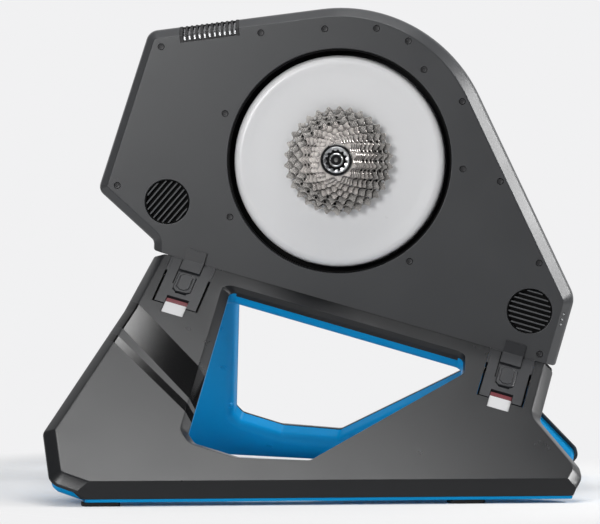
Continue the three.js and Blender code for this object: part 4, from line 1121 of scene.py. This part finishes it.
def build_lockring(back):
    outer, flange, inner, wall = (LOCKRING[key] for key in ("outer", "flange", "inner", "wall"))
    rim = bmesh.new()
    turned(rim, [(flange + 0.05, back), (outer, back), (outer, back + wall - 0.7), (outer - 0.7, back + wall),
                 (flange + 0.6, back + wall), (flange + 0.05, back + wall - 0.4)], 96)
    add_piece("lockring_flange", rim, SIDE, "cassette", GLOSS_BLACK, width=0)
    bm = bmesh.new()
    count = 8 * LOCKRING["notches"]
    notched = []
    for i in range(count):
        angle = 2 * math.pi * i / count
        radius = inner + (LOCKRING["notch"] if (i // 4) % 2 else 0)
        notched.append(polar(radius, angle))
    stack = [
        (notched, back + 0.5), (circle(0, 0, flange - 0.05, count), back + 0.5),
        (circle(0, 0, flange - 0.05, count), back + wall - 0.3),
        (circle(0, 0, flange - 0.5, count), back + wall + 0.1),
        (circle(0, 0, inner + 2.2, count), back + wall + 0.1), (notched, back + wall - 0.5),
    ]
    closed_rings(bm, stack)
    add_piece(
        "lockring_with_notches", bm, SIDE, "cassette", ALUMINIUM, ["cassette_lockring"], width=0,
    )
    # A deep black ring inside the lockring: painted shade in the mouth of the hub
    sleeve = bmesh.new()
    low, high = back + HUB_MOUTH_SHADOW["low"], back + HUB_MOUTH_SHADOW["high"]
    hub, edge = HUB_MOUTH_SHADOW["inner"], HUB_MOUTH_SHADOW["outer"]
    turned(sleeve, [(hub, low), (edge, low), (edge, high), (hub, high)], 48)
    add_piece("hub_mouth_shadow", sleeve, SIDE, "cassette", SHADOW, width=0)


def build_end_cap():
    low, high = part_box("axle_end_cap_drive")
    front = -low.y / MM
    back = -high.y / MM
    bm = bmesh.new()
    radius, neck, bore, lip = (END_CAP[key] for key in ("radius", "neck", "bore", "lip"))
    step = front - END_CAP["stub"]
    profile = [(bore, back), (neck, back), (neck, step), (radius, step), (radius, front - lip),
               (radius - lip, front), (bore + 0.5, front), (bore, front - 0.5)]
    turned(bm, profile, 48)
    add_piece("end_cap_drive", bm, SIDE, "chassis", ALUMINIUM, ["axle_end_cap_drive"], width=0)
    plug = bmesh.new()
    near = front - 0.4
    mouth, deep = END_CAP["mouth"], near - END_CAP["mouth_depth"]
    turned(plug, [(mouth, deep), (bore - 0.1, deep), (bore - 0.1, near), (3.7, near), (3.6, near - 0.4),
                  (3.2, near - 0.4), (3.1, near), (mouth, near)], 48)
    add_piece("axle_mouth", plug, SIDE, "chassis", GLOSS_BLACK, width=0)


# The top vent

def top_section(wall, low):
    top = BODY["crown"] - wall
    shoulder = HALF - BODY["chamfer_depth"] - wall / 2
    side = HALF - wall
    bevel_end = BODY["crown"] - BODY["chamfer_width"] - wall / 2
    right = [(side, low), (side, bevel_end), (shoulder, top)]
    left = [(-z, y) for z, y in reversed(right)]
    return left[-1:] + right + left[:-1]


def top_block(bm, wall, low, x0, x1):
    extruded(bm, top_section(wall, low), x0, x1)


def build_top_vent():
    low = BODY["crown"] - BODY["chamfer_width"] - TOP_VENT["face_drop"]
    rear, front, slots, end_rim = (TOP_VENT[key] for key in ("rear", "front", "slots", "end_rim"))
    pitch = (front - rear - 2 * end_rim) / slots
    bm = bmesh.new()
    top_block(bm, 0, low, rear, front)
    turn_outwards(bm)
    grille = object_of("top_grille", bm, TOP)
    tools = []
    hollow = bmesh.new()
    top_block(hollow, BODY["wall"], low - OVERRUN, rear - OVERRUN, front + OVERRUN)
    tools.append(tool_object("grille_hollow", hollow, TOP))
    slots_bm = bmesh.new()
    for i in range(slots):
        middle = rear + end_rim + pitch * (i + 0.5)
        for side in (-1, 1):
            near, far = sorted((side * TOP_VENT["spine_half"], side * (HALF + OVERRUN)))
            slot_low, slot_high = low + TOP_VENT["slot_floor"], BODY["crown"] + OVERRUN
            half = TOP_VENT["slot_half"]
            block(slots_bm, middle - half, middle + half, slot_low, slot_high, near, far)
    tools.append(tool_object("grille_slots", slots_bm, TOP))
    combine(grille, tools)
    finish_piece(grille, "chassis", BLACK, ["top_vent_grille"], width=0.35)

    fins = bmesh.new()
    base, half = BODY["crown"] - TOP_VENT["fin_drop"], TOP_VENT["fin_half"]
    reach, base_top = TOP_VENT["fin_base_half"], base + TOP_VENT["fin_base"]
    block(fins, rear + end_rim, front - end_rim, base, base_top, -reach, reach)
    for i in range(slots):
        middle = rear + end_rim + pitch * (i + 0.5)
        top_block(fins, BODY["wall"] + SEAT_GAP, base_top - 1, middle - half, middle + half)
    add_piece("cooling_fins", fins, TOP, "chassis", ALUMINIUM, ["heat_sink"], width=0)


# The legs

def leg_corners():
    """The leg's outline in the leg frame, with a notch in its top edge for each hinge bracket."""
    rear, length, height = LEG["rear"], LEG["length"], LEG["height"]
    at = lambda x, y: (rear + length * x, -height * y)
    top = -LEG["top_gap"]
    rear_top = at(0.053, 0)[0]
    front_top = at(0.893, 0)[0]
    corners = [
        (rear_top, top, 1.5, 1),
        (*at(0.044, 0.309), 55, 1),
        (*at(0, 0.966), 14, 1),
        (*at(0.051, 1.167), 19, 1),
        (*at(0.178, 1.18), 0, 0),
        (*at(0.979, 0.6413), 28, 1),
        (*at(1, 0.466), 24, 1),
        (*at(0.991, 0.424), 14, 1),
        (*at(0.893, 0.258), 16, 1),
        (front_top, top, 1.5, 0),
    ]
    half = HINGE["cut_width"] / 2
    for centre in (HINGE["centres"]["front"], HINGE["centres"]["rear"]):
        corners += [
            (centre + half, top, 1.2, 0),
            (centre + half, -HINGE["cut_drop"], 1.5, 0),
            (centre - half, -HINGE["cut_drop"], 1.5, 0),
            (centre - half, top, 1.2, 0),
        ]
    return corners


def window_edges(kind):
    """The window's edges, each with its share of the chamfer or of the blue rim."""
    corners = [
        (
            WINDOW["rear"] + WINDOW["length"] * x,
            -(WINDOW["top"] + WINDOW["height"] * y),
            WINDOW["corner"],
            {"chamfer": chamfer, "rim": rim}[kind],
        )
        for x, y, chamfer, rim in WINDOW_CORNER_SHARES
    ]
    return edges_of(corners)


def bevel_stack(edges, width, depth, rounding, grow=1):
    """(points, z) up a bevel that ends on the face at z 0, with both its edges rounded."""
    slope = math.atan2(width, depth)
    length = math.hypot(width, depth)
    along = lambda t: (-depth + t * math.cos(slope), t * math.sin(slope) / width)
    foot = quarter((-depth - rounding, 0), along(rounding), (-depth, 0), 3)
    brow = quarter(along(length - rounding), (0, 1 + rounding / width), (0, 1), 4)
    return [(outline(edges, 0, grow * share * width), z) for z, share in foot + brow]


def shell_slab(bm):
    """The dark outer shell before its floor cut, with a chamfered window and room for the blue rim in it."""
    edges = edges_of(leg_corners())
    stack = [(outline(edges), -LEG["shell"])]
    stack += bevel_stack(edges, LEG["bevel_width"], LEG["bevel_depth"], 1.6)
    rim = outline(window_edges("rim"), 0, -(WINDOW["rim_wall"] + SEAT_GAP))
    chamfer = window_edges("chamfer")
    hole = [(rim, -LEG["shell"]), (rim, -WINDOW["rim_start"]), (outline(chamfer), -WINDOW["rim_start"])]
    hole += bevel_stack(chamfer, WINDOW["chamfer_width"], WINDOW["chamfer_depth"], 0.6, -1)
    back, front = rings_between(bm, stack)
    hole_back, hole_front = rings_between(bm, hole)
    fill(bm, [back, hole_back])
    fill(bm, [front, hole_front])
    turn_outwards(bm)


def whole_slab(bm):
    """A leg's full thickness, without its window, for the strips along its lower edge."""
    edges = edges_of(leg_corners())
    stack = [(outline(edges), -LEG["thickness"])]
    stack += bevel_stack(edges, LEG["bevel_width"], LEG["bevel_depth"], 1.6)
    loft_flat(bm, stack)


def loft_flat(bm, stack):
    """A loft whose end faces are filled as flat outlines that may turn inwards."""
    back, front = rings_between(bm, stack)
    fill(bm, [back])
    fill(bm, [front])
    turn_outwards(bm)


def core_slab(bm):
    """The blue inner shell before its floor cut: rounded inside, with a rim up into the window."""
    edges = edges_of(leg_corners())
    window = window_edges("rim")
    width, depth = LEG["inner_bevel_width"], LEG["inner_bevel_depth"]
    front = -LEG["shell"] - SEAT_GAP
    rim_top = -WINDOW["rim_start"] - SEAT_GAP
    steps = 7
    turns = [math.pi / 2 * (1 - i / steps) for i in range(steps + 1)]
    rounded = [(1 - math.cos(turn), -LEG["thickness"] + depth * (1 - math.sin(turn))) for turn in turns]
    inset = LEG["inner_inset"]
    stack = [(outline(edges, 0, inset + share * width), z) for share, z in rounded]
    stack.append((outline(edges, 0, inset), front))
    hole = [(outline(window, -share * width), z) for share, z in rounded]
    wall = WINDOW["rim_wall"]
    hole += [
        (outline(window), rim_top - 0.5),
        (outline(window, 0, -0.5), rim_top),
        (outline(window, 0, 0.3 - wall), rim_top),
        (outline(window, 0, -wall), rim_top - 0.3),
        (outline(window, 0, -wall), front),
    ]
    back_ring, front_ring = rings_between(bm, stack)
    hole_back, hole_front = rings_between(bm, hole)
    fill(bm, [back_ring, hole_back])
    fill(bm, [front_ring, hole_front])
    turn_outwards(bm)


def floor_planes():
    """The floor cut and the lip cut of a drive side leg, as (point, outward normal) in the side frame."""
    to_side = SEAM_IN_SIDE @ LEG_IN_SEAM
    normal = (to_side.to_3x3() @ Vector((0, 0, 1))).normalized()
    outward = Vector((normal.x, 0, normal.z)).normalized()
    on_face = to_side @ Vector((0, 0, 0))
    fall = on_face.y + AXLE.z / MM - LEG["lip_top"]
    run = fall * normal.y / math.hypot(normal.x, normal.z)
    foot = on_face + outward * run
    foot.y = -AXLE.z / MM
    return foot, outward


def lip_frame():
    """The frame of a leg's upright lip in the side frame: x along it, y up from the floor, z outwards."""
    foot, outward = floor_planes()
    up = Vector((0, 1, 0))
    along = up.cross(outward)
    frame_matrix = Matrix((along, up, outward)).transposed().to_4x4()
    return Matrix.Translation(foot) @ frame_matrix


def trim_by(bm, planes):
    """Cuts a closed mesh in the leg frame by planes of the lip frame, each (point, outward normal)."""
    to_lip = lip_frame().inverted() @ SEAM_IN_SIDE @ LEG_IN_SEAM
    bmesh.ops.transform(bm, matrix=to_lip, verts=bm.verts)
    for point, normal in planes:
        geometry = list(bm.verts) + list(bm.edges) + list(bm.faces)
        result = bmesh.ops.bisect_plane(
            bm, geom=geometry, plane_co=point, plane_no=normal, clear_outer=True, dist=1e-4,
        )
        rim = [e for e in result["geom_cut"] if isinstance(e, bmesh.types.BMEdge)]
        bmesh.ops.contextual_create(bm, geom=rim)
    turn_outwards(bm)
    bmesh.ops.transform(bm, matrix=to_lip.inverted(), verts=bm.verts)


def floor_cuts(lowest):
    return [(Vector((0, 0, 0)), Vector((0, 0, 1))), (Vector((0, lowest, 0)), Vector((0, -1, 0)))]


def strip_object(name, low, high, wall, frame_matrix, side, ends=None):
    """A strip of the leg along its lip, between two heights over the floor and two ends."""
    strip = bmesh.new()
    whole_slab(strip)
    trim_by(strip, floor_cuts(low))
    strip_body = object_of(name, strip, frame_matrix)
    layer = bmesh.new()
    far = LEG["length"]
    start, end = ends or (-far, far)
    block(layer, start, end, 0, high, -wall, far)
    layer_object = tool_object(f"{name}_layer", layer, side_frame(side) @ lip_frame())
    combine(strip_body, [layer_object], "INTERSECT")
    return strip_body


def build_leg(side):
    frame_matrix = leg_frame(side)
    skirt_low = LEG["floor_gap"] + LEG["trim"]
    far = LEG["length"]
    outer = bmesh.new()
    shell_slab(outer)
    trim_by(outer, floor_cuts(skirt_low))
    shell = object_of(f"leg_shell_{side}", outer, frame_matrix)
    skirt_top = LEG["lip_top"] - LEG["skirt_wall"]
    skirt = strip_object("skirt", skirt_low, skirt_top, LEG["skirt_wall"], frame_matrix, side)
    to_lip = (side_frame(side) @ lip_frame()).inverted()
    points = [to_lip @ vert.co for vert in skirt.data.vertices]
    outer_edge = [point.x for point in points if point.y < skirt_low + 0.2 and point.z > -0.2]
    trim_ends = (min(outer_edge) + 0.5, max(outer_edge) - 0.5)
    combine(shell, [skirt], "UNION")
    pockets, channels = bmesh.new(), bmesh.new()
    half = TAB["width"] / 2 + MOVE_GAP
    floor = -(TAB["sunk"] + TAB["wall"] + MOVE_GAP)
    low, high = -TAB["bottom"] - SEAT_GAP, -HINGE["cut_drop"] + OVERRUN
    end, ceiling = low - TAB["travel"] - 0.2, SEAT_GAP - TAB["sunk"]
    for centre in HINGE["centres"].values():
        block(pockets, centre - half, centre + half, low, high, floor, OVERRUN)
        block(channels, centre - half, centre + half, end, low + 1, floor, ceiling)
    combine(shell, [
        tool_object("tab_pockets", pockets, frame_matrix), tool_object("tab_channels", channels, frame_matrix)
    ])
    finish_piece(
        shell, f"leg_{side}", LEG_GREY, [f"leg_outer_shell_{side}"], width=0, flat_sides=True
    )

    inner = bmesh.new()
    core_slab(inner)
    inward = Vector((0, LEG["bottom_rise"], -(LEG["thickness"] - LEG["bottom_flat"] / 2)))
    slant = Vector((0, inward.z, -inward.y)).normalized()
    slant_start = Vector((0, LEG["floor_gap"], -LEG["bottom_flat"]))
    trim_by(inner, floor_cuts(LEG["floor_gap"]) + [(slant_start, slant)])
    blue = object_of(f"leg_core_{side}", inner, frame_matrix)
    room = bmesh.new()
    low = skirt_low - SEAT_GAP
    block(room, -far, far, low, LEG["lip_top"], -LEG["skirt_wall"] - SEAT_GAP, far)
    room_object = tool_object("skirt_room", room, side_frame(side) @ lip_frame())
    top_bar = bmesh.new()
    block(top_bar, -far, far, -WINDOW["top"] - 0.2, 0, -LEG["shell"] - 0.1, far)
    combine(blue, [room_object, tool_object("rim_gap", top_bar, frame_matrix)])
    trim = strip_object("trim", LEG["floor_gap"], low, LEG["thickness"], frame_matrix, side, trim_ends)
    combine(blue, [trim], "UNION")
    finish_piece(blue, f"leg_{side}", BLUE, [f"leg_inner_shell_{side}"], width=0.4)


def build_blue_screws(side):
    """Screws in low bosses, each seated where its axis meets the blue shell's inner side."""
    blue = bpy.data.objects[f"leg_core_{side}"]
    frame_matrix = leg_frame(side)
    outwards = (frame_matrix.to_3x3() @ Vector((0, 0, 1))).normalized()
    for i, (x, y) in enumerate(BLUE_SCREWS):
        start = frame_matrix @ Vector((x, y, -2 * LEG["thickness"]))
        hit, place, _, _ = blue.ray_cast(start, outwards)
        if not hit:
            continue
        seat = (frame_matrix.inverted() @ place).z
        inward = frame_matrix @ Matrix.Translation((x, y, seat)) @ Matrix.Rotation(math.pi, 4, "X")
        ring = bmesh.new()
        bore, outer, rise = BOSS["bore"], BOSS["outer"], BOSS["rise"]
        turned(ring, [
            (bore, -BOSS["depth"]), (outer, -BOSS["depth"]), (outer, rise - 0.4), (outer - 0.4, rise),
            (bore + 0.4, rise), (bore, rise - 0.4),
        ], 32)
        add_piece(f"screw_boss_{side}_{i + 1}", ring, inward, f"leg_{side}", BLUE, width=0)
        build_screw(f"blue_screw_{side}_{i + 1}", inward, f"leg_{side}", BOSS["screw"], BLUE)


def section_point(drop, depth):
    """A point of a bracket's section, (z, y) in the seam frame, from its place on the leg."""
    splay = radians(LEG["splay"])
    return (
        HALF + drop * math.sin(splay) - depth * math.cos(splay),
        -(BODY["seam_drop"] + drop * math.cos(splay) + depth * math.sin(splay)),
    )


def across(bm, section, centre, width):
    """Extrudes a section of (z, y) points along the seam."""
    extruded(bm, section, centre - width / 2, centre + width / 2)
    turn_outwards(bm)


def octagon(centre, grow):
    left = centre - BUTTON["width"] / 2 - grow
    right = centre + BUTTON["width"] / 2 + grow
    top = -BUTTON["top"] + grow
    bottom = -BUTTON["bottom"] - grow
    c = BUTTON["corner"]
    return [Vector(p) for p in (
        (left + c, bottom), (right - c, bottom), (right, bottom + c), (right, top - c),
        (right - c, top), (left + c, top), (left, top - c), (left, bottom + c),
    )]


def build_hinge(place, side):
    centre = HINGE["centres"][place]
    seam_matrix = side_frame(side) @ SEAM_IN_SIDE
    leg_matrix = leg_frame(side)
    seam = -(BODY["seam_drop"] + SEAT_GAP)
    root_low = -(BODY["seam_drop"] + HINGE["root_drop"])
    deep, drop = HINGE["bracket_depth"], HINGE["bracket_drop"]
    under = section_point(5, deep)
    bm = bmesh.new()
    across(bm, [
        (HINGE["root_inner"], seam), (HINGE["root_inner"], root_low), (under[0], root_low),
        section_point(10, deep), section_point(drop, deep),
        section_point(drop, 0), section_point(SEAT_GAP, 0),
    ], centre, HINGE["bracket_width"])
    bracket = object_of(f"bracket_{place}_{side}", bm, seam_matrix)
    strap = bmesh.new()
    rise = -(BODY["seam_drop"] - HINGE["strap_rise"])
    raised = HINGE["strap_raise"]
    across(strap, [
        (HALF + SEAT_GAP, rise), (HALF + SEAT_GAP, -(BODY["seam_drop"] + raised)),
        section_point(HINGE["strap_end"], raised), section_point(HINGE["strap_end"], -raised),
        section_point(raised, -raised), (HALF + raised, rise),
    ], centre, HINGE["strap_width"])
    combine(bracket, [tool_object("strap", strap, seam_matrix)], "UNION")
    bracket_half, ear_half = HINGE["bracket_width"] / 2, HINGE["ear_width"] / 2
    ears = bmesh.new()
    for sign in (-1, 1):
        low, high = sorted((centre + sign * (bracket_half + 0.02), centre + sign * ear_half))
        block(ears, low, high, -HINGE["ear_drop"], -SEAT_GAP, -deep, 0)
    add_piece(
        f"hinge_ears_{place}_{side}", ears, leg_matrix, "chassis", BRACKET, width=0.3,
    )
    cuts = bmesh.new()
    prism(cuts, octagon(centre, MOVE_GAP), -(BUTTON["sunk"] + BUTTON["travel"] + MOVE_GAP), OVERRUN)
    half = TAB["width"] / 2 + MOVE_GAP
    block(cuts, centre - half, centre + half, -drop - OVERRUN, -TAB["top"] + TAB["notch_rise"],
          -HINGE["axis_depth"] + SEAT_GAP, OVERRUN)
    bore = bmesh.new()
    prism(bore, circle(0, 0, HINGE["pin_bore"], 24), centre - HINGE["ear_width"], centre + HINGE["ear_width"])
    bmesh.ops.transform(bore, matrix=Matrix.Translation((0, -HINGE["axis_drop"], -HINGE["axis_depth"]))
                        @ Matrix.Rotation(radians(90), 4, "Y"), verts=bore.verts)
    slot, bottom = BUTTON["slot_width"] / 2, -BUTTON["bottom"]
    pocket = bmesh.new()
    block(pocket, centre - slot, centre + slot, bottom - BUTTON["slot_rise"], bottom + 1,
          -BUTTON["slot_depth"], OVERRUN)
    combine(bracket, [
        tool_object("bracket_cuts", cuts, leg_matrix),
        tool_object("pin_bore", bore, leg_matrix),
        tool_object("pad_pocket", pocket, leg_matrix),
    ])
    finish_piece(bracket, "chassis", BRACKET, [f"hinge_bracket_{place}_{side}"], width=0.7)

    # Deep black blocks behind the slots beside the bracket, and thin black strips along the strap's sides:
    # painted shadow in the gaps
    gap_shadows = bmesh.new()
    near, far = bracket_half + 0.1, ear_half - 0.1
    for sign in (-1, 1):
        low, high = sorted((centre + sign * near, centre + sign * far))
        block(gap_shadows, low, high, -drop, -HINGE["ear_drop"] - 0.2, -deep, -HINGE["gap_shadows_top"])
    strap_half = HINGE["strap_width"] / 2
    for sign, width, end in ((-1, HINGE["shadow_strip"], HINGE["shadow_strip_end"]), (1, 0.8, HINGE["strap_end"])):
        low, high = sorted((centre + sign * (strap_half + 0.05), centre + sign * (strap_half + width)))
        block(gap_shadows, low, high, -end, -1.0, 0.02, 0.25)
    add_piece(f"hinge_gap_shadows_{place}_{side}", gap_shadows, leg_matrix, "chassis", SHADOW, width=0)

    pad = bmesh.new()
    steps = [(octagon(centre, grow), BUTTON["raise"] + rise) for grow, rise in PAD_STEPS]
    loft(pad, [(octagon(centre, 0), -BUTTON["sunk"])] + steps)
    add_piece(
        f"push_pad_{place}_{side}", pad, leg_matrix, f"button_{place}_{side}", BRACKET,
        [f"release_button_{place}_{side}"],
    )

    half = TAB["width"] / 2
    split = -TAB["top"] - TAB["band"]
    tab = bmesh.new()
    back, face = -TAB["sunk"] - TAB["wall"], -TAB["sunk"]
    block(tab, centre - half, centre + half, -TAB["bottom"], split, back, face)
    body = f"tab_{place}_{side}"
    add_piece(
        f"tab_plate_{place}_{side}", tab, leg_matrix, body, WHITE_PLASTIC,
        [f"lock_tab_{place}_{side}"], width=0.5,
    )
    band = bmesh.new()
    block(band, centre - half, centre + half, split + 0.02, -TAB["top"], back, face)
    add_piece(f"tab_band_{place}_{side}", band, leg_matrix, body, RED_PLASTIC, width=0.5)


def dress_feet():
    for place in ("rear", "front"):
        for side in SIDES:
            node = NODES[f"foot_{place}_{side}"]
            bevel = node.modifiers.new("bevel", "BEVEL")
            bevel.width = FOOT_ROUND * MM
            bevel.segments = 2
            bevel.limit_method = "ANGLE"


# The stage and the light

BACKDROP = srgb(241, 241, 242)
FLOOR_COLOUR = (0.81, 0.81, 0.812, 1)
FLOOR_IN_GLOSS = (0.5, 0.5, 0.502, 1)
AMBIENT = 0.12
AMBIENT_COLOUR = (0.95, 0.97, 1.0, 1)
# The studio that surfaces reflect, from the dark behind the camera to the bright backdrop
ROOM_RAMP = [(0.72, (0.05, 0.05, 0.052, 1)), (0.92, BACKDROP)]
SEEN_RAYS = ("Is Camera Ray", "Is Transmission Ray")
# In metres: the floor's half side, and where it fades into the backdrop
FLOOR_HALF = 12
FADE_START = 0.38
FADE_END = 0.56


def ray_mask(tree, *outputs):
    """1 for rays of any of the given kinds, from Light Path."""
    path = add_node(tree, "LightPath")
    total = path.outputs[outputs[0]]
    for output in outputs[1:]:
        total = calculate(tree, "MAXIMUM", total, path.outputs[output])
    return total


def mix_shaders(tree, share, first, second):
    return add_node(tree, "MixShader", {"Fac": share, 1: first.outputs[0], 2: second.outputs[0]})


def add_floor():
    """A pale floor that keeps the shadow, fades into the backdrop, and is darker to glossy rays."""
    mesh = bpy.data.meshes.new("floor")
    bm = bmesh.new()
    shares = ((-1, -1), (1, -1), (1, 1), (-1, 1))
    bm.faces.new([bm.verts.new((x * FLOOR_HALF, y * FLOOR_HALF, 0)) for x, y in shares])
    bm.to_mesh(mesh)
    bm.free()
    floor = new_object("floor", mesh)
    material = bpy.data.materials.new("floor_white")
    material.use_nodes = True
    tree = material.node_tree
    shader = tree.nodes["Principled BSDF"]
    inputs = {"Factor": ray_mask(tree, "Is Glossy Ray"), "A": FLOOR_COLOUR, "B": FLOOR_IN_GLOSS}
    tone = add_node(tree, "Mix", inputs, data_type="RGBA")
    set_inputs(tree, shader, {"Base Color": tone.outputs["Result"], "Roughness": 0.9})
    plain = add_node(tree, "Emission", {"Color": BACKDROP})
    place = add_node(tree, "TexCoord").outputs["Object"]
    length = add_node(tree, "VectorMath", {0: place}, operation="LENGTH").outputs["Value"]
    far = ranged(tree, length, FADE_START, FADE_END, interpolation_type="SMOOTHSTEP")
    faded = calculate(tree, "MULTIPLY", far, ray_mask(tree, *SEEN_RAYS))
    mix = mix_shaders(tree, faded, shader, plain)
    tree.links.new(mix.outputs[0], tree.nodes["Material Output"].inputs["Surface"])
    mesh.materials.append(material)


def add_world():
    """A white backdrop, with a dark studio behind the camera that smooth surfaces reflect."""
    world = bpy.data.worlds.new("studio")
    bpy.context.scene.world = world
    world.use_nodes = True
    tree = world.node_tree
    ambient = tree.nodes["Background"]
    set_inputs(tree, ambient, {"Color": AMBIENT_COLOUR, "Strength": AMBIENT})
    white = add_node(tree, "Background", {"Color": BACKDROP, "Strength": 1})
    place = add_node(tree, "TexCoord").outputs["Generated"]
    split = add_node(tree, "SeparateXYZ", {0: place})
    ramp = add_node(tree, "ValToRGB", {"Fac": ranged(tree, split.outputs["Y"], -1, 1)})
    for stop, (position, colour) in zip(ramp.color_ramp.elements, ROOM_RAMP):
        stop.position = position
        stop.color = colour
    room = add_node(tree, "Background", {"Color": ramp.outputs["Color"], "Strength": 1})
    glossy = mix_shaders(tree, ray_mask(tree, "Is Glossy Ray"), ambient, room)
    seen = mix_shaders(tree, ray_mask(tree, *SEEN_RAYS), glossy, white)
    tree.links.new(seen.outputs[0], tree.nodes["World Output"].inputs["Surface"])


def add_lamp(name, place, target, size, power, glossy):
    data = bpy.data.lights.new(name, "AREA")
    data.shape = "RECTANGLE"
    data.size, data.size_y = size
    data.energy = power
    lamp = new_object(name, data)
    lamp.location = place
    lamp.rotation_euler = (Vector(target) - Vector(place)).to_track_quat("-Z", "Y").to_euler()
    lamp.visible_glossy = glossy


CEILING = 1.9
# Each ceiling lamp's place, size and power. The strut cards fade out towards the front on the gloss bands.
CEILING_LAMPS = {
    "ceiling_card": ((-0.05, -0.215), (1.5, 0.58), 18),
    "ceiling_step": ((0.5, 0.115), (0.5, 0.08), 1.1),
    "strut_card": ((-0.025, 0.305), (0.06, 0.15), 0.29),
    "strut_card_edge_1": ((0.013, 0.305), (0.016, 0.15), 0.056),
    "strut_card_edge_2": ((0.029, 0.305), (0.016, 0.15), 0.037),
    "strut_card_edge_3": ((0.045, 0.305), (0.016, 0.15), 0.02),
    "strut_card_edge_4": ((0.061, 0.305), (0.016, 0.15), 0.008),
}


# The other lamps' place, target, size, power, and whether surfaces mirror them
CEILING_FILL = ((-0.2, 0.85, 1.7), (-0.2, 0.85, 0), (1.6, 0.5), 7, False)
RIGHT_LIGHT = ((1.6, 0.25, 1.05), (0.15, 0, 0.4), (0.7, 0.7), 24, True)
FRONT_LIGHT = ((-1.1, -2.6, 1.1), (0, 0, 0.3), (1.2, 1.0), 36, True)


def add_lights():
    add_lamp("ceiling_fill", *CEILING_FILL)
    for name, (place, size, power) in CEILING_LAMPS.items():
        add_lamp(name, (*place, CEILING), (*place, 0), size, power, True)
    add_lamp("right_light", *RIGHT_LIGHT)
    add_lamp("front_light", *FRONT_LIGHT)


# The whole scene

bpy.context.scene.view_settings.view_transform = "Standard"
add_camera()
dress_frame()
add_floor()
add_world()
add_lights()
for side_name in SIDES:
    build_housing(side_name)
    for vent_name, vent_place in (("rear", REAR_VENT), ("front", FRONT_VENT)):
        build_round_vent(vent_name, vent_place, side_name)
    build_leg(side_name)
    build_blue_screws(side_name)
    for place_name in HINGE["centres"]:
        build_hinge(place_name, side_name)
build_band()
build_face_screws()
build_top_vent()
build_light_marks()
build_well_shadow_wall()
build_rotor()
build_cassette()
dress_feet()
